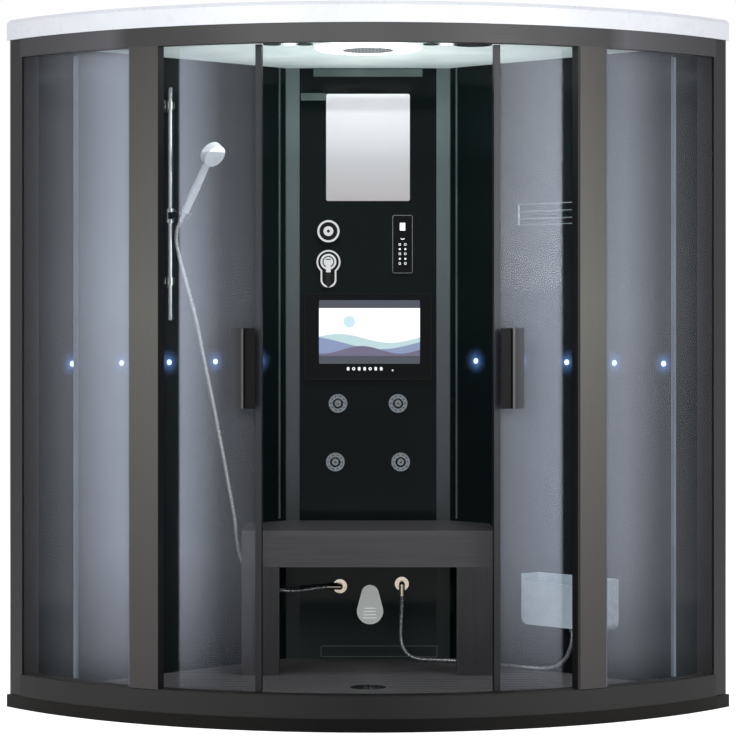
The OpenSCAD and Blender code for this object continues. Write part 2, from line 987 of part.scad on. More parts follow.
module rain_shower() {
    h = lamp_t + 2;
    color("#b7bcbe")
        translate([0, lamp_y, ceiling_z0 - h])
            difference() {
                union() {
                    cylinder(h = h, r = rain_r);
                    cylinder(h = h + ceiling_t + 20, r = stem_r);
                }
                for (ring = [1 : 3], i = [0 : ring * 6 - 1])
                    rotate([0, 0, i * 60 / ring])
                        translate([ring * rain_r / 4, 0, -1])
                            cylinder(h = 4, r = 2.4);
            }
}

// Small lights: two in the ceiling and a row on each wall
module light_spots() {
    color("#f4f8ff") {
        for (x = [-spot_x, spot_x])
            translate([x, spots_y, ceiling_z0 - 4])
                cylinder(h = 4, r = 18);
        both_sides()
            right_wall()
                for (i = [0 : 4])
                    translate([led_u + i * led_pitch, 0, led_z])
                        rod_y(9, -wall_in - 3, -wall_in);
    }
}

module speakers() {
    color("#3a3e40")
        for (s = SPEAKERS)
            translate([s[0], spots_y, 0])
                difference() {
                    union() {
                        translate([0, 0, ceiling_z0 - 4])
                            cylinder(h = 4, r = s[1]);
                        translate([0, 0, ceiling_z0 - 1])
                            cylinder(h = ceiling_t + 14, r = s[1] - 5.5);
                    }
                    translate([0, 0, ceiling_z0 - 5])
                        cylinder(h = 3, r = s[1] - 4);
                }
}

// Fan's ring, grille and the arms that carry its motor
module fan_housing() {
    hub_r = 16;
    color("#33383a")
        translate([fan_x, spots_y, 0]) {
            difference() {
                union() {
                    translate([0, 0, ceiling_z0 - 5])
                        cylinder(h = 5, r = fan_r + 12);
                    translate([0, 0, ceiling_z0 - 1])
                        cylinder(h = 42, r = fan_r + 5.5);
                }
                translate([0, 0, ceiling_z0 - 6])
                    cylinder(h = 60, r = fan_r + 2.5);
            }
            for (r = [14 : 12 : fan_r])
                translate([0, 0, ceiling_z0 - 5])
                    difference() {
                        cylinder(h = 3, r = r + 1.5);
                        translate([0, 0, -1])
                            cylinder(h = 5, r = r - 1.5);
                    }
            for (a = [0 : 60 : 120])
                rotate([0, 0, a])
                    translate([-fan_r - 4, -1.5, ceiling_z0 - 5])
                        cube([2 * fan_r + 8, 3, 3]);
            for (a = [90 : 120 : 330])
                rotate([0, 0, a])
                    translate([0, -3, fan_z + 22])
                        cube([fan_r + 4, 6, 5]);
            translate([0, 0, fan_z + 12.5 + run_gap])
                cylinder(h = 14, r = hub_r);
            translate([0, 0, fan_z - 8])
                cylinder(h = 22, r = axle_r);
        }
}

module fan_rotor() {
    color("#4a5052")
        translate([fan_x, spots_y, fan_z])
            difference() {
                union() {
                    translate([0, 0, -10])
                        cylinder(h = 22, r = 16);
                    for (a = [0 : 360 / 7 : 359])
                        rotate([0, 0, a])
                            translate([14, 0, 0])
                                rotate([35, 0, 0])
                                    translate([0, -13, -1])
                                        cube([fan_r - 17, 26, 2]);
                }
                translate([0, 0, -9])
                    cylinder(h = 30, r = axle_r + turn_fit);
            }
}

// Plan of the seat, drawn in on all its sides
module seat_plan(inset) {
    w = seat_w / 2 - inset;
    c = corner_y - (wall_in + 1.5) * sqrt(2) - inset * sqrt(2);
    y1 = column_y - inset;
    polygon([[-w, seat_y0 + inset], [w, seat_y0 + inset], [w, c - w],
             [c - y1, y1], [y1 - c, y1], [-w, c - w]]);
}

module seat_top() {
    color("#222424")
        translate([0, 0, seat_h - apron_h])
            difference() {
                linear_extrude(apron_h)
                    seat_plan(0);
                translate([0, 0, -1])
                    linear_extrude(apron_h - seat_t + 1)
                        seat_plan(apron_t);
            }
}

module seat_legs() {
    color("#3f3f41")
        both_sides()
            translate([seat_w / 2 - leg_w, seat_y0, deck_z])
                cube([leg_w, leg_d, seat_h - apron_h - deck_z]);
}

module slide_bar() {
    color("#c6cacc")
        left_wall()
            translate([bar_u, 0, 0]) {
                translate([0, -bar_v, bar_z0])
                    cylinder(h = bar_z1 - bar_z0, r = bar_r);
                for (z = [bar_z0 + bracket_low, bar_z1 - bracket_high])
                    translate([0, 0, z]) {
                        rod_y(22, -wall_in - 8, -wall_in);
                        rod_y(8, -bar_v, -wall_in - 7);
                        translate([0, -bar_v, -12])
                            cylinder(h = 24, r = 16);
                    }
            }
}

// Slider: a collar on the bar and a yoke for the holder
module slider() {
    ear_t = 6;
    ear_x = ring_r + 2 + run_gap;
    yoke_y = bar_v + 22;
    color("#b9bdc0")
        left_wall()
            translate([bar_u, 0, slider_z])
                difference() {
                    union() {
                        translate([0, -bar_v, -slider_h / 2])
                            cylinder(h = slider_h, r = 20);
                        translate([-ear_x - ear_t, -yoke_y - 10, -11])
                            cube([2 * (ear_x + ear_t), 14, 22]);
                        for (s = [0, 1])
                            mirror([s, 0, 0])
                                translate([ear_x, -holder_v, -11])
                                    cube([ear_t, holder_v - yoke_y, 22]);
                        for (s = [0, 1])
                            mirror([s, 0, 0])
                                translate([ear_x, -holder_v, 0])
                                    rotate([0, 90, 0])
                                        cylinder(h = ear_t, r = 11);
                    }
                    translate([0, -bar_v, -slider_h])
                        cylinder(h = 2 * slider_h, r = bar_r + turn_fit);
                    translate([-ear_x - ear_t - 1, -holder_v, 0])
                        rotate([0, 90, 0])
                            cylinder(h = 2 * (ear_x + ear_t + 1),
                                     r = axle_r + turn_fit);
                }
}

// Axes of the hand shower, leaning out of the slider's yoke
module holder_axes() {
    left_wall()
        translate([bar_u, -holder_v, slider_z])
            rotate([handset_lean, 0, 0])
                children();
}

module handset_holder() {
    reach = ring_r + 2 + run_gap + 6;
    color("#a4a8ab")
        holder_axes()
            difference() {
                union() {
                    translate([0, 0, -15])
                        cylinder(h = 30, r = ring_r);
                    translate([-reach, 0, 0])
                        rotate([0, 90, 0])
                            cylinder(h = 2 * reach, r = axle_r);
                }
                translate([0, 0, -16])
                    cylinder(h = 32, r = grip_r);
            }
}

module handset() {
    color("#dfe2e4")
        holder_axes() {
            rotate_extrude()
                polygon([
                    [0, -nut_drop], [10, -nut_drop], [10, -16], [grip_r, -15],
                    [grip_r, 40], [grip_r + 1.5, grip_len / 2],
                    [grip_r - 1, grip_len], [grip_r - 2, grip_len + 12],
                    [0, grip_len + 12]
                ]);
            translate([0, 6, grip_len + head_r])
                rotate([90, 0, 0])
                    cylinder(h = 26, r = head_r);
        }
}

// Smooth curve through a list of points, and a tube swept along it
function curve_at(p, i, t) =
    let (n = len(p) - 1,
         a = p[max(i - 1, 0)], b = p[i], c = p[i + 1], d = p[min(i + 2, n)])
    0.5 * (2 * b + (c - a) * t + (2 * a - 5 * b + 4 * c - d) * t * t
           + (3 * b - a - 3 * c + d) * t * t * t);

function route(p, per_span) =
    [for (i = [0 : len(p) - 2], k = [0 : per_span - 1])
        curve_at(p, i, k / per_span), p[len(p) - 1]];

function unit(v) = v / norm(v);

// Direction at each ring of a tube; the two ends are given
function headings(q, d0, d1) =
    let (n = len(q) - 1)
    [for (i = [0 : n]) i == 0 ? d0 : i == n ? d1 : unit(q[i + 1] - q[i - 1])];

// Side vector of each ring, carried along without twist
function sides(t, i = 0, s = [0, 0, 0]) =
    let (first = abs(t[0][0]) > 0.9 ? [0, 1, 0] : [1, 0, 0],
         raw = i == 0 ? first : s,
         u = unit(raw - (raw * t[i]) * t[i]))
    i == len(t) - 1 ? [u] : concat([u], sides(t, i + 1, u));

module tube(points, r, d0, d1, per_span) {
    q = route(points, per_span);
    t = headings(q, d0, d1);
    u = sides(t);
    m = tube_sides;
    n = len(q);
    rings = [for (i = [0 : n - 1], k = [0 : m - 1])
        q[i] + r * (cos(360 * k / m) * u[i] + sin(360 * k / m) * cross(t[i], u[i]))];
    walls = [for (i = [0 : n - 2], k = [0 : m - 1])
        let (a = i * m + k, b = i * m + (k + 1) % m) [a, a + m, b + m, b]];
    caps = [[for (k = [0 : m - 1]) k], [for (k = [0 : m - 1]) n * m - 1 - k]];
    polyhedron(points = rings, faces = concat(walls, caps), convexity = 6);
}

module shower_hose() {
    color("#b4b8ba")
        tube(SHOWER_ROUTE, hose_d / 2, [-1, 0, 0], [0.406, -0.406, 0.819], 2);
}

module foot_hose() {
    color("#b4b8ba")
        tube(FOOT_ROUTE, hose_d / 2, [0, 0, -1], [0, 0, 1], 2);
}

// Rack: three rails round the front, on end plates, with a wire base
module shelf_rack() {
    rail_r = 4;
    v0 = wall_in;
    v1 = wall_in + rack_d - rail_r;
    color("#b9bec1")
        right_wall()
            translate([rack_u, 0, rack_z]) {
                for (x = [0, rack_len]) {
                    for (z = RACK_RAILS)
                        translate([x, 0, z])
                            rod_y(rail_r, -v1, -v0);
                    translate([x, 0, 0])
                        rod_y(rail_r - 1, -v1, -v0);
                    translate([x - 3, -v0 - 6, -8])
                        cube([6, 6, RACK_RAILS[2] + 16]);
                    translate([x, -v1, 0])
                        cylinder(h = RACK_RAILS[2], r = rail_r);
                }
                for (z = concat([0], RACK_RAILS))
                    translate([0, -v1, z])
                        rotate([0, 90, 0])
                            cylinder(h = rack_len, r = rail_r);
                for (v = [v0 + 22 : 22 : v1 - 10])
                    translate([0, -v, 0])
                        rotate([0, 90, 0])
                            cylinder(h = rack_len, r = rail_r - 2);
            }
}

// Open basin on the right wall, with the hose's inlet under it
module wall_basin() {
    corner = 26;
    bottom_cut = 24;
    color("#e3eaee")
        difference() {
            union() {
                right_wall()
                    translate([basin_u, -wall_in, basin_z])
                        difference() {
                            rotate([90, 0, 0])
                                linear_extrude(basin_d)
                                    basin_outline(0, corner);
                            translate([0, -basin_t, basin_t])
                                rotate([90, 0, 0])
                                    linear_extrude(basin_d - 2 * basin_t)
                                        basin_outline(basin_t, corner);
                            translate([basin_t, -basin_d - 1, basin_h - bottom_cut])
                                cube([basin_len - 2 * basin_t,
                                      basin_d - basin_t + 1, basin_h]);
                        }
                right_wall()
                    translate([basin_u + nipple_u, -wall_in - nipple_v,
                               basin_z - nipple_len])
                        cylinder(h = nipple_len, r = hose_d / 2 + 3);
            }
        }
}

// Side outline of the basin: a box with two round lower corners
module basin_outline(t, corner) {
    w = basin_len - 2 * t;
    r = corner - t;
    translate([t, 0])
        union() {
            translate([0, r])
                square([w, basin_h - r]);
            translate([r, 0])
                square([w - 2 * r, r + 1]);
            for (x = [r, w - r])
                translate([x, r])
                    circle(r = r);
        }
}

// Steam generator behind the column, with its pipe to the outlet
module steam_generator() {
    color("#a8acae") {
        translate([-gen_w / 2, column_back, gen_z])
            cube([gen_w, gen_d, gen_h]);
        translate([steam_x, column_back + 30, steam_pipe_z]) {
            cylinder(h = gen_z + 1 - steam_pipe_z, r = steam_pipe_r);
            sphere(r = steam_pipe_r);
        }
        translate([steam_x, 0, steam_pipe_z])
            rod_y(steam_pipe_r, column_y - 10, column_back + 30);
    }
}

// One straight pipe with round ends between two points
module pipe(a, b) {
    v = b - a;
    translate(a) {
        sphere(r = pipe_r);
        rotate([0, acos(v[2] / norm(v)), atan2(v[1], v[0])])
            cylinder(h = norm(v), r = pipe_r);
    }
    translate(b)
        sphere(r = pipe_r);
}

// Hot and cold pipes behind the column, with the two inlets
module supply_pipes() {
    y = column_back + pipe_y;
    x = jet_lower_x + 40;
    cold_z = inlet_z - 40;
    color("#b08d57") {
        pipe([-x, y, ELBOWS[0][1]], [-x, y, diverter_z]);
        pipe([x, y, ELBOWS[1][1]], [x, y, jet_upper_z]);
        pipe([-x, y, jet_upper_z], [x, y, jet_upper_z]);
        pipe([-x, y, jet_lower_z], [x, y, jet_lower_z]);
        pipe([-x, y, ELBOWS[0][1]], [ELBOWS[0][0], y, ELBOWS[0][1]]);
        pipe([x, y, ELBOWS[1][1]], [ELBOWS[1][0], y, ELBOWS[1][1]]);
        pipe([-x, y, inlet_z], [-inlet_x, y, inlet_z]);
        pipe([-valve_x + 20, y, mixer_z], [-valve_x + 20, y, cold_z]);
        pipe([-valve_x + 20, y, cold_z], [inlet_x, y, cold_z]);
        pipe([inlet_x, y, cold_z], [inlet_x, y, inlet_z]);
        for (s = [-1, 1])
            translate([s * inlet_x, 0, inlet_z]) {
                rod_y(pipe_r, y, back_y - inlet_len - 2);
                rod_y(pipe_r + 4, back_y - inlet_len - 12, back_y - inlet_len);
                rod_y(inlet_r, back_y - inlet_len - 1, back_y);
            }
        for (z = [diverter_z, mixer_z])
            translate([-valve_x - 30, column_back, z - 25])
                cube([60, 40, 50]);
    }
}

module fasteners() {
    color("#8d9092")
        both_sides()
            for (z = SCREW_Z)
                translate([column_w / 2 + column_post_w / 2, 0, z]) {
                    rod_y(screw_r * 2.2, column_y - 2.4, column_y);
                    rod_y(screw_r, column_y - 1, column_y + 10);
                }
}

// Glass of one leaf, with holes for its hangers and its handle
module leaf_glass() {
    difference() {
        arc_band(leaf_r, leaf_r + glass_t, lead_angle + edge_arc / 2,
                 lead_angle + leaf_arc, leaf_z0, leaf_z1);
        for (a = HANGER_ANGLES)
            at_arc(a, axle_z)
                rotate([0, 90, 0])
                    cylinder(h = 2 * front_r, r = axle_r + run_gap);
        for (z = [-1, 1])
            at_arc(grip_angle, handle_z + z * standoff_dz)
                rotate([0, 90, 0])
                    cylinder(h = 2 * front_r, r = bolt_r + run_gap);
    }
}

// Profile on the leading edge, with a slot for the glass
module leaf_edge() {
    difference() {
        arc_band(edge_r0, edge_r0 + edge_d, lead_angle,
                 lead_angle + edge_arc, leaf_z0, edge_z1);
        arc_band(leaf_r, leaf_r + glass_t, lead_angle + edge_arc / 2,
                 lead_angle + 2 * edge_arc, leaf_z0 - 1, edge_z1 + 1);
    }
}

// Handle: a flat plate beside a grip bar, two standoffs, inside knobs
module leaf_handle() {
    r0 = leaf_r + glass_t + handle_gap;
    z0 = handle_z - handle_h / 2;
    z1 = handle_z + handle_h / 2;
    half = arc_of(grip_w) / 2;
    arc_band(r0 + 1, r0 + 6, lead_angle + arc_of(grip_plate_in),
             grip_angle - half + 0.05, z0, z1);
    arc_band(r0, r0 + 12, grip_angle - half, grip_angle + half, z0, z1);
    for (z = [-1, 1])
        at_arc(grip_angle, handle_z + z * standoff_dz) {
            rotate([0, 90, 0])
                translate([0, 0, leaf_r - 10])
                    cylinder(h = r0 + 2 - leaf_r + 10, r = bolt_r);
            rotate([0, 90, 0])
                translate([0, 0, leaf_r - knob_h])
                    cylinder(h = knob_h - run_gap, r = knob_r);
            rotate([0, 90, 0])
                translate([0, 0, leaf_r + glass_t + run_gap])
                    cylinder(h = r0 + 1 - leaf_r - glass_t - run_gap, r = 9);
        }
}

// Two hangers, each an axle through the glass, and two guide shoes under it
module leaf_hangers() {
    half = 0.8;
    head_r0 = roller_r0 - run_gap - head_h;
    nut_r1 = leaf_r + glass_t + run_gap + nut_h;
    for (a = HANGER_ANGLES) {
        at_arc(a, axle_z)
            rotate([0, 90, 0]) {
                translate([0, 0, head_r0])
                    cylinder(h = nut_r1 - head_r0, r = axle_r);
                translate([0, 0, head_r0])
                    cylinder(h = head_h, r = axle_r + 2);
                translate([0, 0, roller_r0 + roller_w + run_gap])
                    cylinder(h = leaf_r - roller_r0 - roller_w - 2 * run_gap,
                             r = shoulder_r);
                translate([0, 0, nut_r1 - nut_h])
                    cylinder(h = nut_h, r = shoulder_r);
            }
        arc_band(leaf_r - 3 + run_gap, leaf_r + glass_t + 3 - run_gap,
                 a - half, a + half, sill_z1 - groove_depth + 2, leaf_z0);
    }
}

// Roller on one hanger's axle
module leaf_roller(i) {
    at_arc(HANGER_ANGLES[i], axle_z)
        rotate([0, 90, 0])
            translate([0, 0, roller_r0])
                difference() {
                    cylinder(h = roller_w, r = roller_r);
                    translate([0, 0, -1])
                        cylinder(h = roller_w + 2, r = axle_r + turn_fit);
                }
}

// The left leaf is mirrored, and the right one is stored further open
module door(side) {
    if (side < 0)
        mirror([1, 0, 0])
            children();
    else
        translate([0, arc_y, 0])
            rotate([0, 0, right_open])
                translate([0, -arc_y, 0])
                    children();
}

module door_left_glass() {
    color("#5d666c", 0.35)
        door(-1)
            leaf_glass();
}

module door_left_edge() {
    color("#8d9092")
        door(-1)
            leaf_edge();
}

module door_left_handle() {
    color("#8a8d90")
        door(-1)
            leaf_handle();
}

module door_left_hangers() {
    color("#a4a8ab")
        door(-1)
            leaf_hangers();
}

module door_left_roller_1() {
    color("#d8d8d6")
        door(-1)
            leaf_roller(0);
}

module door_left_roller_2() {
    color("#d8d8d6")
        door(-1)
            leaf_roller(1);
}

module door_right_glass() {
    color("#5d666c", 0.35)
        door(1)
            leaf_glass();
}

module door_right_edge() {
    color("#8d9092")
        door(1)
            leaf_edge();
}

module door_right_handle() {
    color("#8a8d90")
        door(1)
            leaf_handle();
}

module door_right_hangers() {
    color("#a4a8ab")
        door(1)
            leaf_hangers();
}

module door_right_roller_1() {
    color("#d8d8d6")
        door(1)
            leaf_roller(0);
}

module door_right_roller_2() {
    color("#d8d8d6")
        door(1)
            leaf_roller(1);
}

shower_tray();
tray_feet();
floor_deck();
drain();
threshold_rail();
header_rail();
roof_shell();
ceiling_panel();
wall_left();
wall_right();
wall_posts();
front_posts();
fixed_glass();
column_panel();
mirror_plate();
keypad();
media_bezel();
media_screen();
valve_plates();
mixer_cap();
mixer_lever();
diverter_knob();
jet_bodies();
jet_nozzle(JETS[0]);  // jet_nozzle_1
jet_nozzle(JETS[1]);  // jet_nozzle_2
jet_nozzle(JETS[2]);  // jet_nozzle_3
jet_nozzle(JETS[3]);  // jet_nozzle_4
steam_outlet();
hose_elbows();
ceiling_lamp();
rain_shower();
light_spots();
speakers();
fan_housing();
fan_rotor();
seat_top();
seat_legs();
slide_bar();
slider();
handset_holder();
handset();
shower_hose();
foot_hose();
shelf_rack();
wall_basin();
steam_generator();
supply_pipes();
fasteners();
door_left_glass();
door_left_edge();
door_left_handle();
door_left_hangers();
door_left_roller_1();
door_left_roller_2();
door_right_glass();
door_right_edge();
door_right_handle();
door_right_hangers();
door_right_roller_1();
door_right_roller_2();
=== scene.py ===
import math

import bpy
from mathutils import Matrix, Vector


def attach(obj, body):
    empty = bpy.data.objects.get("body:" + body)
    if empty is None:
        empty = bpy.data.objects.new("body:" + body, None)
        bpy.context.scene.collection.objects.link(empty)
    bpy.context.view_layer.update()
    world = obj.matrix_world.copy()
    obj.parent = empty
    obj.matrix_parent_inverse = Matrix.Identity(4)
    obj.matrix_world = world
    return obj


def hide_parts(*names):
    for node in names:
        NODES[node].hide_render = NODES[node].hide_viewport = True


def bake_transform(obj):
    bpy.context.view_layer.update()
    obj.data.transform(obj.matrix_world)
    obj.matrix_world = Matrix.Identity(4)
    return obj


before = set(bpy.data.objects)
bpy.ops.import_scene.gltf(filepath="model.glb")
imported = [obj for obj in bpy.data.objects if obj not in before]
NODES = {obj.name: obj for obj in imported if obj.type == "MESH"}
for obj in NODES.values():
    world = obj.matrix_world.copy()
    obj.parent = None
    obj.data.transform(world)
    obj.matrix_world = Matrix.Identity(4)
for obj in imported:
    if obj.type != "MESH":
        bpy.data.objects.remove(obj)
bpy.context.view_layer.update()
MM = 0.001

# Sizes taken over from part.scad, in millimetres
ARC_Y = 662.7735
CORNER_Y = 887.2265
COLUMN_Y = 573.285
WALL_IN = 24


# ---------------------------------------------------------------- camera

# Fitted to the curves of the roof and the tray in the photograph
CAMERA_AT = (0, -8.787, 1.217)
CAMERA_LENS = 133.4
CAMERA_SHIFT = -0.068

cam_data = bpy.data.cameras.new("camera")
cam_data.sensor_width = 36
cam_data.lens = CAMERA_LENS
cam_data.shift_y = CAMERA_SHIFT
cam_data.clip_end = 60
camera = bpy.data.objects.new("camera", cam_data)
camera.location = CAMERA_AT
camera.rotation_euler = (math.radians(90), 0, 0)
bpy.context.scene.collection.objects.link(camera)
bpy.context.scene.camera = camera


# ---------------------------------------------------------------- mesh helpers

def link(name, mesh):
    obj = bpy.data.objects.new(name, mesh)
    bpy.context.scene.collection.objects.link(obj)
    return obj


def mesh_object(name, verts, faces, smooth=True):
    mesh = bpy.data.meshes.new(name)
    mesh.from_pydata([tuple(v) for v in verts], [], faces)
    mesh.update()
    if smooth:
        mesh.polygons.foreach_set("use_smooth", [True] * len(mesh.polygons))
    return link(name, mesh)


def catmull(points, i, t):
    n = len(points) - 1
    a, b, c, d = (Vector(points[k]) for k in
                  (max(i - 1, 0), i, i + 1, min(i + 2, n)))
    return 0.5 * (2 * b + (c - a) * t + (2 * a - 5 * b + 4 * c - d) * t * t
                  + (3 * b - a - 3 * c + d) * t ** 3)


def even_path(points, step):
    """The smooth line through the points, cut into even steps."""
    fine = [catmull(points, i, k / 40)
            for i in range(len(points) - 1) for k in range(40)]
    fine.append(Vector(points[-1]))
    dist = [0.0]
    for p, q in zip(fine, fine[1:]):
        dist.append(dist[-1] + (q - p).length)
    count = max(2, round(dist[-1] / step))
    out, j = [], 0
    for k in range(count + 1):
        s = dist[-1] * k / count
        while j < len(fine) - 2 and dist[j + 1] < s:
            j += 1
        span = dist[j + 1] - dist[j]
        out.append(fine[j].lerp(fine[j + 1], (s - dist[j]) / span if span else 0))
    return out


def frames(path, d0=None, d1=None):
    """Direction and side vector at each point, carried along without twist."""
    n = len(path) - 1
    dirs = [(path[min(i + 1, n)] - path[max(i - 1, 0)]).normalized()
            for i in range(n + 1)]
    if d0:
        dirs[0] = Vector(d0).normalized()
    if d1:
        dirs[n] = Vector(d1).normalized()
    side = Vector((0, 1, 0)) if abs(dirs[0].x) > 0.9 else Vector((1, 0, 0))
    sides = []
    for d in dirs:
        side = (side - d * side.dot(d)).normalized()
        sides.append(side.copy())
    return dirs, sides


def tube_object(name, path, radii, around, d0=None, d1=None):
    """A closed tube along path; radii gives the radius at each point."""
    dirs, sides = frames(path, d0, d1)
    verts = []
    for p, d, s, r in zip(path, dirs, sides, radii):
        other = d.cross(s)
        for k in range(around):
            a = 2 * math.pi * k / around
            verts.append(p + r * (math.cos(a) * s + math.sin(a) * other))
    faces = []
    for i in range(len(path) - 1):
        for k in range(around):
            a, b = i * around + k, i * around + (k + 1) % around
            faces.append((a, b, b + around, a + around))
    faces.append(tuple(range(around - 1, -1, -1)))
    faces.append(tuple(range(len(verts) - around, len(verts))))
    return mesh_object(name, verts, faces)


# ---------------------------------------------------------------- hoses

SHOWER_ROUTE = [
    (-134, 543, 297), (-180, 537, 293), (-230, 516, 288), (-280, 486, 290),
    (-330, 452, 303), (-375, 424, 330), (-410, 404, 370), (-430, 394, 415),
    (-440, 388, 465), (-448, 376, 540), (-464, 350, 640), (-484, 316, 760),
    (-510, 274, 910), (-540, 228, 1070), (-566, 188, 1210), (-590, 160, 1310),
    (-608, 146, 1380), (-620, 137, 1430), (-626, 128, 1470),
    (-622, 116, 1509), (-610, 104, 1533),
]
FOOT_ROUTE = [
    (116, 543, 267), (116, 543, 235), (114, 540, 190), (112, 530, 140),
    (118, 512, 98), (140, 494, 70), (175, 482, 58), (220, 474, 56.5),
    (270, 458, 56.5), (320, 428, 56.5), (370, 388, 56.5), (425, 345, 56.5),
    (480, 305, 56.5), (530, 268, 56.5), (575, 232, 58), (618, 192, 70),
    (648, 160, 100), (663, 136, 140), (668, 125, 170), (668, 124, 192),
]
HOSE_PITCH = 4.4 * MM
HOSE_R = 7 * MM
HOSE_GROOVE = 0.7 * MM
HOSE_AROUND = 14


def hose(name, route_mm, d0, d1):
    """A hose with the ridges of its wound metal strip."""
    step = HOSE_PITCH / 4
    path = even_path([Vector(p) * MM for p in route_mm], step)
    ridge = (HOSE_R, HOSE_R, HOSE_R - HOSE_GROOVE, HOSE_R - HOSE_GROOVE)
    radii = [ridge[i % 4] for i in range(len(path))]
    obj = tube_object(name, path, radii, HOSE_AROUND, d0, d1)
    length = sum((q - p).length for p, q in zip(path, path[1:]))
    return obj, path, length


shower_hose, shower_path, shower_len = hose(
    "shower_hose_wound", SHOWER_ROUTE, (-1, 0, 0), (0.406, -0.406, 0.819))
foot_hose, foot_path, foot_len = hose(
    "foot_hose_wound", FOOT_ROUTE, (0, 0, -1), (0, 0, 1))
print("hose lengths", round(shower_len, 4), round(foot_len, 4))
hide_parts("shower_hose")
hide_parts("foot_hose")
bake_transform(shower_hose)
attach(foot_hose, "cabin")


# ---------------------------------------------------------------- materials

class Nodes:
    """A material with its Principled node and short calls for the rest."""

    def __init__(self, name, color, rough=0.5, metal=0.0, spec=0.5):
        self.mat = bpy.data.materials.new(name)
        self.mat.use_nodes = True
        self.tree = self.mat.node_tree
        self.bsdf = self.tree.nodes["Principled BSDF"]
        self.coords = None
        self.set("Base Color", color if len(color) == 4 else (*color, 1))
        self.set("Roughness", rough)
        self.set("Metallic", metal)
        self.set("Specular IOR Level", spec)

    def set(self, socket, value):
        self.bsdf.inputs[socket].default_value = value

    def add(self, kind, inputs=(), **props):
        node = self.tree.nodes.new("ShaderNode" + kind)
        for key, value in props.items():
            setattr(node, key, value)
        for key, value in dict(inputs).items():
            if isinstance(value, bpy.types.NodeSocket):
                self.tree.links.new(value, node.inputs[key])
            else:
                node.inputs[key].default_value = value
        return node

    def to(self, socket, value):
        self.tree.links.new(value, self.bsdf.inputs[socket])

    def place(self):
        if self.coords is None:
            self.coords = self.add("TexCoord").outputs["Object"]
        return self.coords

    def stretched(self, scale):
        return self.add("Mapping", {"Vector": self.place(), "Scale": scale}).outputs[0]

    def noise(self, scale, detail=3, rough=0.5, vector=None):
        return self.add("TexNoise", {"Vector": vector or self.place(), "Scale": scale,
                                     "Detail": detail, "Roughness": rough}
                        ).outputs["Fac"]

    def ramp(self, fac, stops):
        node = self.add("ValToRGB", {"Fac": fac})
        elements = node.color_ramp.elements
        while len(elements) > 1:
            elements.remove(elements[-1])
        elements[0].position = stops[0][0]
        elements[0].color = shade(stops[0][1])
        for pos, value in stops[1:]:
            elements.new(pos).color = shade(value)
        return node.outputs["Color"]

    def span(self, value, a, b, lo, hi):
        """value from a..b onto lo..hi, held at the ends."""
        return self.add("MapRange", {"Value": value, "From Min": a, "From Max": b,
                                     "To Min": lo, "To Max": hi}).outputs["Result"]

    def math(self, op, a, b=0.0):
        return self.add("Math", {0: a, 1: b}, operation=op).outputs[0]

    def axis(self, name):
        return self.add("SeparateXYZ", {0: self.place()}).outputs[name]

    def radius(self, x, z):
        """Distance from a point of the x-z plane."""
        dx, dz = (self.math("SUBTRACT", self.axis(a), c) for a, c in (("X", x), ("Z", z)))
        return self.math("SQRT", self.math("ADD", self.math("MULTIPLY", dx, dx),
                                           self.math("MULTIPLY", dz, dz)))

    def angle(self):
        """Angle along the front's arc in degrees, 0 at its middle."""
        back = self.math("SUBTRACT", ARC_Y * MM, self.axis("Y"))
        return self.math("MULTIPLY", self.math("ARCTAN2", self.axis("X"), back),
                         180 / math.pi)

    def mixed(self, fac, a, b):
        ends = {6: a, 7: b}
        return self.add("Mix", {0: fac, **{k: v if isinstance(v, bpy.types.NodeSocket)
                                           else shade(v) for k, v in ends.items()}},
                        data_type="RGBA").outputs[2]

    def bump(self, height, strength, distance):
        self.to("Normal", self.add("Bump", {"Height": height, "Strength": strength,
                                            "Distance": distance}).outputs[0])


def shade(value):
    if isinstance(value, (int, float)):
        return (value, value, value, 1)
    return value if len(value) == 4 else (*value, 1)


def hexa(code):
    """An sRGB colour code as the linear colour that a shader takes."""
    out = []
    for i in (0, 2, 4):
        c = int(code[i:i + 2], 16) / 255
        out.append(c / 12.92 if c <= 0.04045 else ((c + 0.055) / 1.055) ** 2.4)
    return (*out, 1)


def blended(n, dark, light, scale, detail=3, vector=None):
    """Colour that drifts between two shades."""
    n.to("Base Color", n.ramp(n.noise(scale, detail, vector=vector),
                              [(0.3, hexa(dark)), (0.7, hexa(light))]))


def moulded(name, dark, light, rough, spec=0.5, grain=900, depth=0.00006):
    """Moulded plastic: slight drift of colour, fine grain, uneven gloss."""
    n = Nodes(name, hexa(dark), rough, spec=spec)
    blended(n, dark, light, 6)
    n.to("Roughness", n.span(n.noise(40, 2), 0.3, 0.7, rough * 0.85, min(1, rough * 1.15)))
    n.bump(n.noise(grain, 2), 0.25, depth)
    return n


def anodised(name, dark, light, rough, metal, along):
    """Brushed metal: fine lines along its length."""
    n = Nodes(name, hexa(dark), rough, metal)
    lines = n.noise(1, 3, vector=n.stretched(along))
    n.to("Base Color", n.ramp(lines, [(0.3, hexa(dark)), (0.7, hexa(light))]))
    n.to("Roughness", n.span(lines, 0.3, 0.7, rough * 0.85, rough * 1.15))
    n.bump(lines, 0.06, 0.00004)
    return n


def polished(name, color, rough):
    """Chrome, with the faint unevenness of plated brass."""
    n = Nodes(name, hexa(color), rough, 1.0)
    n.to("Roughness", n.span(n.noise(60, 3), 0.3, 0.7, rough * 0.6, rough * 1.5))
    n.bump(n.noise(180, 2), 0.03, 0.00005)
    return n


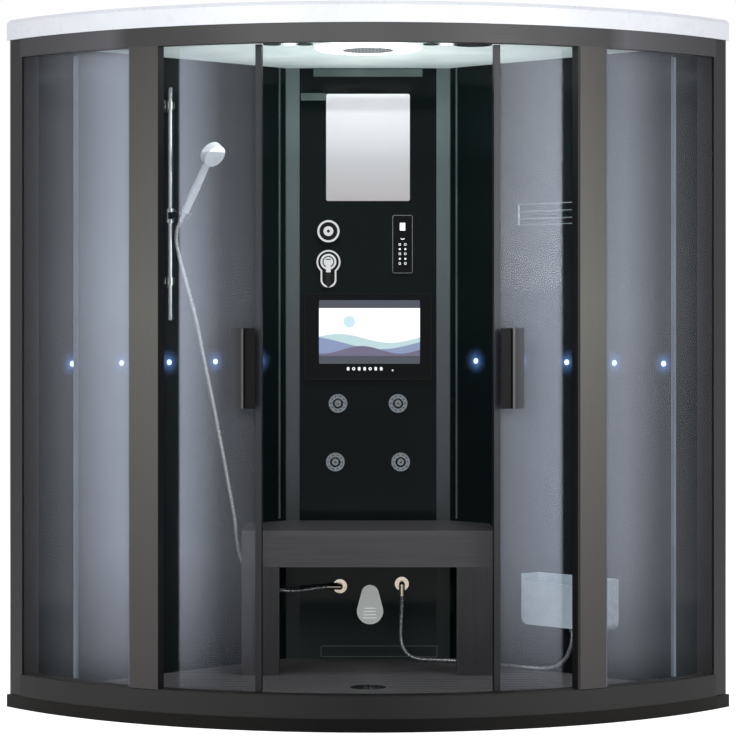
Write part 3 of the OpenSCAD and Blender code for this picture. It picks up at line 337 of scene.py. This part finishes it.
M = {}
M["tray"] = moulded("tray", "151413", "1b1a19", 0.45, 0.06)
n = M["tray"]
# The tray is painted darker in the middle of the front and lighter towards the sides: painted
# light and shade along the arc
n.to("Base Color", n.mixed(n.span(n.math("ABSOLUTE", n.angle()), 4, 32, 0, 1),
                           hexa("0b0a0a"), hexa("1d1c1a")))
M["feet"] = moulded("feet", "1d1d1d", "292929", 0.75)
M["chrome"] = polished("chrome", "d6d9db", 0.08)
M["rod"] = polished("rod_chrome", "9ba1a5", 0.14)
# The hose elbows are chrome, tinted warm as a painted reflection
M["warm_reflection_chrome"] = polished("elbow_chrome", "a89f90", 0.1)
M["roof"] = moulded("roof_white", "d2d4d9", "d9dbe0", 0.3, 0.3, 300, 0.00001)
M["ceiling"] = moulded("ceiling", "b2c2c1", "c3d1cf", 0.45, 0.3)
M["basin"] = moulded("basin", "93a1ac", "a9b6c0", 0.28, 0.4, 300)
M["steam"] = moulded("steam_pale", "e6eae8", "f1f4f1", 0.3, 0.5, 400)
# The steam outlet glows faintly: painted light that lifts it out of the shade under the seat
M["steam"].set("Emission Color", hexa("dfe6e4"))
M["steam"].set("Emission Strength", 0.13)
M["nozzle"] = polished("nozzle", "6a7276", 0.32)
M["satin"] = moulded("handset_silver", "a7adb3", "b7bdc3", 0.28, 0.5, 500)
M["seal"] = moulded("seal_clear", "525c66", "616b76", 0.35, 0.2)
M["nylon"] = moulded("nylon", "cfcfcc", "dcdcd9", 0.35)
M["steel"] = anodised("brushed_steel", "8e9192", "a9abac", 0.34, 1.0, (30, 30, 900))
M["brass"] = polished("brass", "b0894f", 0.24)
M["print"] = moulded("print_white", "dfe3e6", "f1f3f5", 0.4)
M["line"] = moulded("print_grey", "4b4f51", "5c6062", 0.4)
M["dark"] = moulded("recess_dark", "0b0c0d", "121314", 0.5, 0.2)
M["trim"] = moulded("trim_green", "3d4b48", "52605d", 0.35, 0.3)


def streaked(name, dark, light, rough, spec, scale):
    """Dark board or slat with streaks along it, as brushed aluminium wood."""
    n = Nodes(name, hexa(dark), rough, spec=spec)
    lines = n.noise(1, 4, 0.65, n.stretched(scale))
    n.to("Base Color", n.ramp(lines, [(0.3, hexa(dark)), (0.7, hexa(light))]))
    n.to("Roughness", n.span(lines, 0.3, 0.7, rough * 0.85, rough * 1.2))
    n.bump(lines, 0.15, 0.0001)
    return n


M["seat"] = streaked("seat", "3a393c", "49484b", 0.38, 0.3, (3, 60, 110))
n = M["seat"]
# Painted shade: the seat is darker towards its ends by the walls and below its top
painted_seat_shade = n.math("MAXIMUM", n.span(n.math("ABSOLUTE", n.axis("X")), 0.28, 0.41, 0, 0.62),
                n.span(n.axis("Z"), 0.5, 0.51, 0.2, 0))
n.to("Base Color", n.mixed(painted_seat_shade, n.bsdf.inputs["Base Color"].links[0].from_socket,
                           hexa("0c0c0d")))
M["leg"] = streaked("leg", "242325", "2f2e30", 0.42, 0.25, (90, 90, 4))
M["deck"] = streaked("deck", "444446", "545354", 0.45, 0.3, (3, 120, 120))


def dark_glass(name, dark, light, rough=0.07, spec=0.12):
    """Back-painted black glass with a green cast, hardly uneven."""
    n = Nodes(name, hexa(dark), rough, spec=spec)
    blended(n, dark, light, 1.5, 2)
    n.to("Roughness", n.span(n.noise(5, 2), 0.3, 0.7, rough * 0.8, rough * 1.25))
    return n


M["wall"] = dark_glass("black_glass", "090f10", "0e1615")
M["column"] = dark_glass("column_glass", "070c0d", "0c1413", 0.08, 0.07)
n = M["column"]
# The column's glass is painted paler towards its foot: painted light
foot = n.span(n.axis("Z"), 0.1, 0.45, 1, 0)
n.to("Base Color", n.mixed(foot, n.bsdf.inputs["Base Color"].links[0].from_socket,
                           hexa("2b3231")))
M["panel"] = dark_glass("panel_black", "07090a", "0b0e0f", 0.12, 0.08)


def profile(name, stops, fac, rough=0.42, metal=0.35, along=(700, 700, 9), spec=0.4):
    """Anodised profile whose colour follows fac as painted light and shade, with fine lines
    along it.
    """
    n = Nodes(name, hexa(stops[0][1]), rough, metal, spec)
    base = n.ramp(fac(n), [(p, hexa(c)) for p, c in stops])
    lines = n.noise(1, 3, vector=n.stretched(along))
    n.to("Base Color", n.mixed(n.span(lines, 0.25, 0.75, 0, 0.16), base,
                               (0.02, 0.02, 0.02)))
    n.to("Roughness", n.span(lines, 0.3, 0.7, rough * 0.85, rough * 1.15))
    n.bump(lines, 0.05, 0.00004)
    return n


def by_height(n):
    """0 at the floor, 1 at 2.1 m."""
    return n.span(n.axis("Z"), 0, 2.1, 0, 1)


def by_angle(n):
    return n.span(n.math("ABSOLUTE", n.angle()), 0, 50, 0, 1)


# The front posts are painted darker at the floor and at the top and lighter in the middle:
# painted light and shade by height
M["frame"] = profile("frame_post", [(0.04, "373333"), (0.6, "595853"), (1, "3a3836")],
                     by_height)
n = M["frame"]
# The posts' inner cheeks are painted near black: painted shade on the sides that face into
# the opening
INNER_LEFT, INNER_RIGHT = -25.7, 26.0
inner = n.math("MULTIPLY", n.math("GREATER_THAN", n.angle(), INNER_LEFT),
               n.math("LESS_THAN", n.angle(), INNER_RIGHT))
front = n.bsdf.inputs["Base Color"].links[0].from_socket
n.to("Base Color", n.mixed(inner, front, hexa("101011")))
# The header is painted lighter and darker along the arc: painted reflection and shade
M["header"] = profile("frame_header", [(0, "484848"), (0.4, "2a2a2a"), (0.6, "343434"),
                                       (0.65, "535356"), (1, "2c2c2e")],
                      by_angle, along=(20, 20, 900))
# The threshold is painted darkest in the middle of the arc: painted shade
M["sill"] = profile("frame_sill", [(0, "080807"), (0.6, "282726"), (1, "201f1e")],
                    by_angle, 0.5, 0.1, (20, 20, 900), 0.2)
# The leaves' edge profiles are painted darker at the floor and at the top: painted shade by
# height
M["edge"] = profile("edge_profile", [(0.05, "08090a"), (0.6, "303337"), (1, "17181a")],
                    by_height, 0.35, 0.5)

# Hangers: bright axles above, black guide shoes below
n = M["hanger"] = anodised("hanger_steel", "8e9192", "a9abac", 0.34, 0.9, (30, 30, 900))
low = n.math("LESS_THAN", n.axis("Z"), 1.0)
n.to("Base Color", n.mixed(low, hexa("9b9d9e"), hexa("121314")))
n.to("Metallic", n.span(low, 0, 1, 0.9, 0))

# Posts: near black at the walls' ends, grey-green beside the column and painted paler towards
# the top there, as painted light
n = M["post"] = Nodes("post_dark", hexa("2b2a2b"), 0.42, 0.2, 0.3)
tall = n.ramp(by_height(n), [(0.1, hexa("222727")), (0.5, hexa("3c4144")),
                             (0.9, hexa("4f5b5b"))])
near = n.math("LESS_THAN", n.math("ABSOLUTE", n.axis("X")), 0.4)
lines = n.noise(1, 3, vector=n.stretched((700, 700, 9)))
ends = n.ramp(lines, [(0.3, hexa("212021")), (0.7, hexa("2b2a2b"))])
n.to("Base Color", n.mixed(near, ends, tall))
n.to("Roughness", n.span(lines, 0.3, 0.7, 0.36, 0.48))


def two_tone(name, split):
    """Grey grip with a painted highlight line and painted shade across it, and black plate,
    parted at an arc angle.
    """
    n = Nodes(name, hexa("55565a"), 0.35, 0.5, 0.4)
    lines = n.noise(1, 3, vector=n.stretched((900, 900, 12)))
    a = n.math("ABSOLUTE", n.angle())
    grip = n.math("GREATER_THAN", a, split)
    # The grip's grey is painted with a highlight line by the plate, shade in the middle and a
    # paler outer edge
    grey = n.ramp(n.span(a, split, split + 1.6, 0, 1),
                  [(0.1, hexa("4a4b4d")), (0.2, hexa("1a1b1c")), (1, hexa("34353a"))])
    n.to("Base Color", n.mixed(grip, hexa("040405"), grey))
    n.to("Specular IOR Level", n.span(grip, 0, 1, 0.12, 0.4))
    n.to("Metallic", n.span(grip, 0, 1, 0, 0.3))
    n.to("Roughness", n.span(lines, 0.3, 0.7, 0.3, 0.42))
    n.bump(lines, 0.05, 0.00004)
    return n


M["handle_left"] = two_tone("handle_left", 14.7)
M["handle_right"] = two_tone("handle_right", 17.2)

# Mirror: silver with a painted reflection that is paler towards the top, and a faint glow of
# painted light
n = M["mirror"] = Nodes("mirror", hexa("cfd6d8"), 0.05, 0.45)
silver = n.ramp(n.span(n.axis("Z"), 1.61, 1.99, 0, 1),
                [(0, hexa("959194")), (0.35, hexa("a6a7a9")), (0.75, hexa("c1c3c7")),
                 (1, hexa("d8dadd"))])
n.to("Base Color", silver)
n.to("Emission Color", silver)
n.set("Emission Strength", 0.3)
n.to("Roughness", n.span(n.noise(20, 2), 0.3, 0.7, 0.04, 0.08))

# Opal lamp cover, lit
n = M["lamp"] = Nodes("lamp_opal", hexa("f4fbfa"), 0.4)
n.set("Emission Strength", 0.8)
n.to("Emission Color", n.ramp(n.noise(14, 2), [(0.3, hexa("eefaf8")), (0.7, hexa("ffffff"))]))


def perforated(name, plate, hole, pitch, metal, rough):
    """Plate with rows of holes: rain shower, covers over speakers and fan."""
    n = Nodes(name, hexa(plate), rough, metal)
    rows = [n.math("SINE", n.math("MULTIPLY", n.axis(a), 2 * math.pi / pitch))
            for a in ("X", "Y")]
    holes = n.span(n.math("MULTIPLY", rows[0], rows[1]), 0.25, 0.45, 0, 1)
    n.to("Base Color", n.mixed(holes, hexa(plate), hexa(hole)))
    n.to("Roughness", n.span(holes, 0, 1, rough, min(1, rough * 2)))
    n.bump(n.math("SUBTRACT", 1.0, holes), 0.4, 0.0008)
    return n


M["rain"] = perforated("rain_face", "767b7b", "2c3031", 0.022, 0.4, 0.35)
M["grille"] = perforated("grille", "3b4042", "15181a", 0.009, 0.3, 0.4)

# Lit lenses: white in the ceiling, bluish on the walls
n = M["spot"] = Nodes("spot_lens", hexa("f1f7ff"), 0.15)
n.set("Emission Strength", 1.0)
n.to("Emission Color", n.mixed(n.math("LESS_THAN", n.axis("Z"), 1.5), hexa("fafdff"),
                               hexa("a9d2ff")))

# Glow of a wall lamp on the glass round it
n = M["glow"] = Nodes("lamp_glow", hexa("0a1a30"), 0.5)
n.set("Emission Strength", 0.9)
n.to("Emission Color", n.ramp(n.noise(40, 1), [(0.3, hexa("4d86dc")), (0.7, hexa("7aadf2"))]))

# Wound metal hose
n = M["hose"] = Nodes("hose_metal", hexa("9ea2a5"), 0.3, 0.75)
n.to("Base Color", n.ramp(n.noise(120, 2), [(0.3, hexa("8f9396")), (0.7, hexa("b2b6b9"))]))
n.to("Roughness", n.span(n.noise(300, 2), 0.3, 0.7, 0.2, 0.34))

# Valve knob: chrome rim, black ring, chrome hub with a dark middle
VALVE_X, KNOB_Z, MIXER_Z = -0.1355, 1.514, 1.409
CHROME, BLACK = hexa("d9dcde"), hexa("0b0c0d")
n = M["knob"] = Nodes("knob_rings", CHROME, 0.09, 1.0, 0.15)
r = n.span(n.radius(VALVE_X, KNOB_Z), 0, 0.04, 0, 1)
rings = n.ramp(r, [(0, 0), (0.12, 0), (0.15, 1), (0.4, 1), (0.44, 0), (0.76, 0), (0.8, 1)])
n.to("Base Color", n.mixed(rings, BLACK, CHROME))
n.to("Metallic", rings)
n.to("Roughness", n.span(n.noise(60, 2), 0.3, 0.7, 0.06, 0.14))

# Mixer plate: a chrome keyhole outline round black
n = M["keyhole"] = Nodes("mixer_plate", CHROME, 0.09, 1.0, 0.15)
across = n.math("SUBTRACT", n.axis("X"), VALVE_X)
held = n.math("MINIMUM", n.math("MAXIMUM", n.axis("Z"), 1.349), MIXER_Z)
down = n.math("SUBTRACT", n.axis("Z"), held)
tongue = n.math("SQRT", n.math("ADD", n.math("MULTIPLY", across, across),
                               n.math("MULTIPLY", down, down)))
shape = n.math("MINIMUM", n.math("SUBTRACT", n.radius(VALVE_X, MIXER_Z), 0.0415),
               n.math("SUBTRACT", tongue, 0.0275))
rim = n.math("MULTIPLY", n.math("GREATER_THAN", shape, -0.006),
             n.math("LESS_THAN", shape, 0.0))
upper = n.math("GREATER_THAN", n.axis("Z"), 1.46)
rim = n.math("MAXIMUM", rim, upper)
n.to("Base Color", n.mixed(rim, BLACK, CHROME))
n.to("Metallic", rim)
n.to("Roughness", n.span(n.noise(60, 2), 0.3, 0.7, 0.06, 0.14))

# Mixer cap: chrome with a dark ring
n = M["cap"] = Nodes("mixer_cap", CHROME, 0.09, 1.0)
r = n.span(n.radius(VALVE_X, MIXER_Z), 0, 0.03, 0, 1)
rings = n.ramp(r, [(0, 1), (0.52, 1), (0.56, 0), (0.66, 0), (0.7, 1), (0.88, 1), (0.92, 0)])
n.to("Base Color", n.mixed(rings, hexa("1b1d1f"), CHROME))
n.to("Metallic", rings)
n.to("Roughness", n.span(n.noise(80, 2), 0.3, 0.7, 0.08, 0.18))

# Mixer lever: black, chrome where it leaves the cap
n = M["lever"] = Nodes("mixer_lever", CHROME, 0.12, 1.0, 0.25)
bright = n.math("GREATER_THAN", n.axis("Z"), MIXER_Z - 0.036)
n.to("Base Color", n.mixed(bright, hexa("0c0d0e"), CHROME))
n.to("Metallic", bright)
n.to("Roughness", n.span(n.noise(80, 2), 0.3, 0.7, 0.1, 0.2))

# Screen with a plain picture: low hills and a pale sun between two grey bands
SCREEN_X, SCREEN_Z, SCREEN_W, SCREEN_H = 0.005, 1.169, 0.346, 0.218
n = M["screen"] = Nodes("screen_picture", hexa("f4f7fa"), 0.2)
u = n.span(n.axis("X"), SCREEN_X - SCREEN_W / 2, SCREEN_X + SCREEN_W / 2, 0, 1)
v = n.span(n.axis("Z"), SCREEN_Z - SCREEN_H / 2, SCREEN_Z + SCREEN_H / 2, 0, 1)


def hill(level, swing, turns, shift):
    """1 under a wavy line across the screen."""
    wave = n.math("SINE", n.math("ADD", n.math("MULTIPLY", u, turns), shift))
    top = n.math("ADD", n.math("MULTIPLY", wave, swing), level)
    return n.span(n.math("SUBTRACT", top, v), -0.006, 0.006, 0, 1)


sky = n.ramp(v, [(0.1, hexa("eef6f8")), (0.6, hexa("ffffff"))])
du = n.math("SUBTRACT", u, 0.3)
dv = n.math("MULTIPLY", n.math("SUBTRACT", v, 0.66), SCREEN_H / SCREEN_W)
sun = n.span(n.math("SQRT", n.math("ADD", n.math("MULTIPLY", du, du),
                                   n.math("MULTIPLY", dv, dv))), 0.055, 0.061, 1, 0)
picture = n.mixed(sun, sky, hexa("bfdce8"))
for level, swing, turns, shift, tint in ((0.40, 0.07, 6.1, 0.4, "b3cfd2"),
                                         (0.33, 0.10, 4.3, 2.1, "7f8db0"),
                                         (0.22, 0.06, 8.2, 4.4, "655f78")):
    picture = n.mixed(hill(level, swing, turns, shift), picture, hexa(tint))
edge = n.math("GREATER_THAN", n.math("ABSOLUTE", n.math("SUBTRACT", v, 0.5)), 0.375)
picture = n.mixed(edge, picture, hexa("3f4350"))
n.to("Base Color", n.mixed(0.85, picture, hexa("05060a")))
n.to("Emission Color", picture)
n.set("Emission Strength", 0.95)


# Painted reflection on the panes (the veil) by height, and the alpha of glass that is all but
# clear
CLEAR = 0.006
DOOR_TALL = [(0.04, 0.05), (0.1, 0.35), (0.25, 0.8), (0.6, 1), (0.95, 0.7)]
FIXED_TALL = [(0.04, 0.2), (0.1, 0.5), (0.3, 0.75), (0.6, 1), (0.95, 0.7)]


def veiled(name, stops, heights=DOOR_TALL):
    """Grey glass: a painted reflection grows along the arc and with height.

    What the glass mirrors stays where it is when a leaf slides, so the veil is
    laid out in the world and not on the leaf."""
    n = Nodes(name, hexa("dde6f6"), 0.06, spec=0.5)
    n.coords = n.add("NewGeometry").outputs["Position"]
    cover = n.ramp(n.span(n.angle(), -50, 50, 0, 1),
                   [((a + 50) / 100, c) for a, c in stops])
    tall = n.ramp(by_height(n), heights)
    n.to("Alpha", n.math("MULTIPLY", n.math("MULTIPLY", cover, tall),
                         n.span(n.noise(1.4, 2), 0.3, 0.7, 0.94, 1.06)))
    n.to("Base Color", n.ramp(cover, [(0.03, hexa("c9cdd8")), (0.15, hexa("dbe4f5"))]))
    n.to("Roughness", n.span(n.noise(2.2, 2), 0.3, 0.7, 0.04, 0.09))
    return n


# The clear bands beside the posts are where the posts' dark cheeks are mirrored, left out of
# the painted reflection
M["glass_left"] = veiled("door_glass_left", [
    (-40, 0.06), (-32, 0.25), (-26.6, 0.25), (-26.5, CLEAR),
    (-23.8, CLEAR), (-23.7, 0.2), (-18, 0.06), (-14, 0.04)])
M["glass_right"] = veiled("door_glass_right", [
    (15, 0.09), (24.2, 0.17), (24.3, CLEAR),
    (26.5, CLEAR), (26.6, 0.16), (34, 0.14), (40, 0.03)])
M["fixed_glass"] = veiled("fixed_glass", [
    (-48, 0.01), (-40, 0.08), (-30, 0.08), (30, 0.045), (42, 0.045), (48, 0.01)],
    FIXED_TALL)


def paint(node, *mats):
    """The CAD node's slots take these materials; the last one fills the rest."""
    obj = NODES[node]
    if not obj.data.materials:
        obj.data.materials.append(None)
    for i in range(len(obj.material_slots)):
        obj.material_slots[i].material = M[mats[min(i, len(mats) - 1)]].mat


PAINT = {
    "tray": ["shower_tray"],
    "feet": ["tray_feet"],
    "deck": ["floor_deck"],
    "chrome": ["drain"],
    "lever": ["mixer_lever"],
    "rod": ["slide_bar", "slider", "handset_holder", "shelf_rack"],
    "satin": ["handset"],
    "warm_reflection_chrome": ["hose_elbows"],
    "knob": ["diverter_knob"],
    "cap": ["mixer_cap"],
    "keyhole": ["valve_plates"],
    "rain": ["rain_shower"],
    "frame": ["front_posts"],
    "header": ["header_rail"],
    "sill": ["threshold_rail"],
    "roof": ["roof_shell"],
    "ceiling": ["ceiling_panel"],
    "wall": ["wall_left", "wall_right"],
    "column": ["column_panel"],
    "post": ["wall_posts", "fasteners"],
    "fixed_glass": ["fixed_glass"],
    "mirror": ["mirror_plate"],
    "panel": ["keypad", "media_bezel"],
    "spot": ["light_spots"],
    "screen": ["media_screen"],
    "nozzle": ["jet_bodies", "jet_nozzle_1", "jet_nozzle_2", "jet_nozzle_3",
               "jet_nozzle_4"],
    "steam": ["steam_outlet"],
    "lamp": ["ceiling_lamp"],
    "grille": ["speakers", "fan_housing", "fan_rotor"],
    "seat": ["seat_top"],
    "leg": ["seat_legs"],
    "basin": ["wall_basin"],
    "steel": ["steam_generator"],
    "hanger": ["door_left_hangers", "door_right_hangers"],
    "brass": ["supply_pipes"],
    "glass_left": ["door_left_glass"],
    "glass_right": ["door_right_glass"],
    "edge": ["door_left_edge", "door_right_edge"],
    "handle_left": ["door_left_handle"],
    "handle_right": ["door_right_handle"],
    "nylon": ["door_left_roller_1", "door_left_roller_2",
              "door_right_roller_1", "door_right_roller_2"],
}
for material, names in PAINT.items():
    for node in names:
        paint(node, material)
shower_hose.data.materials.append(M["hose"].mat)
foot_hose.data.materials.append(M["hose"].mat)


# ---------------------------------------------------------------- details

def piece(name, verts, faces, material, body="cabin"):
    obj = mesh_object(name, verts, faces, smooth=False)
    obj.data.materials.append(M[material].mat)
    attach(obj, body)
    return obj


def rounded(x, z, w, h, r, corner=5):
    """Outline of a rounded rectangle, in millimetres on the x-z plane."""
    out = []
    for sx, sz, a0 in ((1, 1, 0), (-1, 1, 90), (-1, -1, 180), (1, -1, 270)):
        for k in range(corner + 1):
            a = math.radians(a0 + 90 * k / corner)
            out.append((x + sx * (w / 2 - r) + r * math.cos(a),
                        z + sz * (h / 2 - r) + r * math.sin(a)))
    return out


def round_points(x, z, r, angles):
    return [(x + r * math.cos(a), z + r * math.sin(a)) for a in angles]


def disc(x, z, r, n=20):
    return round_points(x, z, r, [2 * math.pi * k / n for k in range(n)])


def relief(name, shapes, y, t, material, body="cabin"):
    """Flat shapes that stand t proud of the plane y; a pair of outlines is a band."""
    verts, faces = [], []
    for shape in shapes:
        outer, inner = shape if isinstance(shape, tuple) else (shape, None)
        n, base = len(outer), len(verts)
        for outline in (outer, inner) if inner else (outer,):
            for yy in (y - t, y):
                verts += [(px * MM, yy * MM, pz * MM) for px, pz in outline]
        ring = range(n)
        faces += [(base + k, base + (k + 1) % n, base + n + (k + 1) % n, base + n + k)
                  for k in ring]
        if inner:
            b2 = base + 2 * n
            faces += [(b2 + (k + 1) % n, b2 + k, b2 + n + k, b2 + n + (k + 1) % n)
                      for k in ring]
            faces += [(base + (k + 1) % n, base + k, b2 + k, b2 + (k + 1) % n) for k in ring]
            faces += [(base + n + k, base + n + (k + 1) % n, b2 + n + (k + 1) % n,
                       b2 + n + k) for k in ring]
        else:
            faces.append(tuple(base + k for k in reversed(ring)))
            faces.append(tuple(base + n + k for k in ring))
    return piece(name, verts, faces, material, body)


def frame_line(x, z, w, h, r, t):
    return rounded(x, z, w, h, r), rounded(x, z, w - 2 * t, h - 2 * t, max(r - t, 0.5))


def upright(name, corners, z0, z1, material, body="cabin"):
    """A vertical strip whose section is given as arc radius and angle."""
    n = len(corners)
    plan = [(r * math.sin(math.radians(a)), ARC_Y - r * math.cos(math.radians(a)))
            for r, a in corners]
    verts = [(x * MM, y * MM, z * MM) for z in (z0, z1) for x, y in plan]
    faces = [(k, (k + 1) % n, n + (k + 1) % n, n + k) for k in range(n)]
    faces += [tuple(reversed(range(n))), tuple(range(n, 2 * n))]
    return piece(name, verts, faces, material, body)


def wall_point(u, v, side):
    """A point u along a wall from the rear corner and v into the cabin."""
    h = math.sqrt(0.5)
    return side * (u - v) * h * MM, (CORNER_Y - (u + v) * h) * MM


KEYPAD_X, KEYPAD_Z = 118.5, 1470
front = COLUMN_Y - 7
relief("keypad_outline", [frame_line(KEYPAD_X, KEYPAD_Z, 70, 200, 7, 2.4)],
       COLUMN_Y - 8, 0.5, "line")
keys = [rounded(KEYPAD_X, KEYPAD_Z + 60, 19, 27, 2)]
for k, z in enumerate((-1, -17, -33, -50, -66)):
    for x in (-9.5, 9.5):
        keys.append(disc(KEYPAD_X + x, KEYPAD_Z + z, 3.6) if k % 2 else
                    frame_line(KEYPAD_X + x, KEYPAD_Z + z, 8, 8, 2, 1.7))
smile = [math.radians(200 + 14 * k) for k in range(11)]
keys.append(round_points(KEYPAD_X, KEYPAD_Z + 23, 8, smile)
            + round_points(KEYPAD_X, KEYPAD_Z + 23, 5, smile)[::-1])
relief("keypad_symbols", keys, front, 0.4, "print")

MEDIA_Z = 1154.5
media_front = COLUMN_Y - 16
relief("media_outline", [frame_line(0, MEDIA_Z, 434, 295, 9, 1.4)], media_front, 0.3,
       "dark")
keys = []
for k in range(7):
    x = -68 + 18.9 * k
    keys.append((disc(x, MEDIA_Z - 111.5, 5.6), disc(x, MEDIA_Z - 111.5, 2.2))
                if k % 3 == 1 else rounded(x, MEDIA_Z - 111.5, 9, 12, 2.5))
keys.append(disc(84.5, MEDIA_Z - 117, 3.2))
relief("media_symbols", keys, media_front, 0.4, "print")

# Slim vertical strips on the walls beside the column
for side, word in ((-1, "left"), (1, "right")):
    corners = [(453, 24), (457, 24), (457, 29), (453, 29)]
    plan = [wall_point(u, v, side) for u, v in corners][::side]
    verts = [(x, y, z) for z in (0.53, 2.072) for x, y in plan]
    piece("wall_strip_" + word, verts,
          [(0, 1, 5, 4), (1, 2, 6, 5), (2, 3, 7, 6), (3, 0, 4, 7), (3, 2, 1, 0),
           (4, 5, 6, 7)], "trim")

# Strips on the column and the cover at its foot
relief("column_top_strip", [rounded(0, 2058, 374, 26, 2)], COLUMN_Y, 4, "trim")
relief("mirror_side_strip", [rounded(-188, 1976, 85, 25, 2)], COLUMN_Y, 3, "trim")
relief("foot_cover", [frame_line(38, 73, 400, 38, 3, 2)], COLUMN_Y, 1.5, "line")

# Ring of small holes round each jet
JETS = ((-103, 924), (103, 924), (-112, 723), (112, 723))
JET_RING_R = 24.5
relief("jet_holes", [disc(*hole, 2.3, 10) for x, z in JETS
                     for hole in disc(x, z, JET_RING_R, 10)], COLUMN_Y - 8, 0.3, "dark")

# Seals on the leaves' trailing edges, and the gasket strips beside the posts
for side, body, a in ((-1, "door_left", 39.62), (1, "door_right", 42.08)):
    upright(body + "_seal", [(r, side * (a + da)) for r, da in
                             ((1402, -0.3), (1413, -0.3), (1413.5, -0.1), (1413.5, 0.1),
                              (1402, 0.1))][::side], 113, 2020, "seal", body)
    upright("post_gasket_" + ("left" if side < 0 else "right"),
            [(r, side * angle) for r, angle in ((1438.5, 29.66), (1445, 29.66),
                                                (1446, 29.72), (1445, 29.84),
                                                (1438.5, 29.84))][::side],
            110, 2027, "seal")


# Wall lamps, and the reach of their glow on the glass
LED_Z, LED_U = 1071, [544 + 203.7 * k for k in range(5)]
GLOW_R = 60


def glow_discs():
    """Light that each wall lamp throws on the glass round it."""
    n = M["glow"]
    verts, faces = [], []
    around = 24
    for side in (-1, 1):
        for lamp_u in LED_U:
            base = len(verts)
            for t in range(around):
                a = 2 * math.pi * t / around
                x, y = wall_point(lamp_u + GLOW_R * math.cos(a), WALL_IN + 0.5, side)
                verts.append((x, y, (LED_Z + GLOW_R * math.sin(a)) * MM))
            faces.append(tuple(base + t for t in range(around))[::side])
    piece("wall_lamp_glow", verts, faces, "glow")
    across = n.math("ABSOLUTE", n.axis("X"))
    near = None
    for lamp_u in LED_U:
        off = n.math("ABSOLUTE", n.math("SUBTRACT", across,
                                        wall_point(lamp_u, WALL_IN + 0.5, 1)[0]))
        near = off if near is None else n.math("MINIMUM", near, off)
    flat = n.math("MULTIPLY", near, math.sqrt(2))
    up = n.math("SUBTRACT", n.axis("Z"), LED_Z * MM)
    far = n.math("SQRT", n.math("ADD", n.math("MULTIPLY", flat, flat),
                                n.math("MULTIPLY", up, up)))
    fade = n.span(far, 0.008, 0.058, 1, 0)
    n.to("Alpha", n.math("MULTIPLY", n.math("POWER", fade, 2.8), 0.5))


glow_discs()


# ---------------------------------------------------------------- floor, world, lamps

def light_path_world():
    """White for the camera, for gloss and for glass, a plain sky for the rest."""
    world = bpy.data.worlds.new("world")
    bpy.context.scene.world = world
    world.use_nodes = True
    tree = world.node_tree
    tree.nodes.clear()
    new = tree.nodes.new
    path = new("ShaderNodeLightPath")
    seen = new("ShaderNodeMath")
    seen.operation = "MAXIMUM"
    both = new("ShaderNodeMath")
    both.operation = "MAXIMUM"
    tree.links.new(path.outputs["Is Camera Ray"], seen.inputs[0])
    tree.links.new(path.outputs["Is Glossy Ray"], seen.inputs[1])
    tree.links.new(seen.outputs[0], both.inputs[0])
    tree.links.new(path.outputs["Is Transmission Ray"], both.inputs[1])
    plain, white = new("ShaderNodeBackground"), new("ShaderNodeBackground")
    plain.inputs["Color"].default_value = (0.9, 0.93, 1, 1)
    plain.inputs["Strength"].default_value = 0.42
    white.inputs["Color"].default_value = (1, 1, 1, 1)
    white.inputs["Strength"].default_value = 1
    mix, out = new("ShaderNodeMixShader"), new("ShaderNodeOutputWorld")
    tree.links.new(both.outputs[0], mix.inputs[0])
    tree.links.new(plain.outputs[0], mix.inputs[1])
    tree.links.new(white.outputs[0], mix.inputs[2])
    tree.links.new(mix.outputs[0], out.inputs[0])


def floor_plane():
    """Pale floor that the camera sees near white, with the cabin's shadow."""
    obj = mesh_object("floor", [(-14, -14, 0), (14, -14, 0), (14, 14, 0), (-14, 14, 0)],
                      [(0, 1, 2, 3)], smooth=False)
    n = Nodes("floor", (0.8, 0.8, 0.8), 0.9)
    lift = n.add("Emission", {"Color": (1, 1, 1, 1), "Strength": 0.66})
    path = n.add("LightPath")
    off = n.add("Emission", {"Color": (0, 0, 0, 1), "Strength": 0.0})
    seen = n.math("MAXIMUM", path.outputs["Is Camera Ray"], path.outputs["Is Glossy Ray"])
    seen = n.math("MAXIMUM", seen, path.outputs["Is Transmission Ray"])
    mix = n.add("MixShader", {0: seen, 1: off.outputs[0], 2: lift.outputs[0]})
    both = n.add("AddShader", {0: n.bsdf.outputs[0], 1: mix.outputs[0]})
    n.tree.links.new(both.outputs[0], n.tree.nodes["Material Output"].inputs[0])
    obj.data.materials.append(n.mat)


def area(name, place, target, size, power):
    data = bpy.data.lights.new(name, "AREA")
    data.shape = "RECTANGLE"
    data.size, data.size_y = size
    data.energy = power
    obj = bpy.data.objects.new(name, data)
    obj.location = place
    obj.rotation_euler = (Vector(target) - Vector(place)).to_track_quat("-Z", "Y").to_euler()
    bpy.context.scene.collection.objects.link(obj)
    return obj


light_path_world()
floor_plane()
area("key", (-3.2, -5.2, 4.4), (0, 0, 1.1), (3.2, 3.2), 205)
area("fill", (3.6, -4.6, 2.8), (0, 0, 1.0), (3.0, 3.0), 150)
area("low", (0, -5.8, 0.8), (0, 0.5, 0.6), (1.8, 1.0), 45).visible_glossy = False
area("back", (0.5, 5.0, 4.2), (0, 0, 1.2), (3.5, 2.5), 150)
for lamp in (area("ceiling_glow", (0, -0.12, 2.03), (0, -0.12, 0), (0.4, 0.4), 9),
             area("ceiling_wash", (0, -0.05, 1.75), (0, -0.05, 2.1), (1.1, 0.9), 7)):
    lamp.visible_glossy = False
    lamp.visible_camera = False

bpy.context.scene.view_settings.view_transform = "Standard"
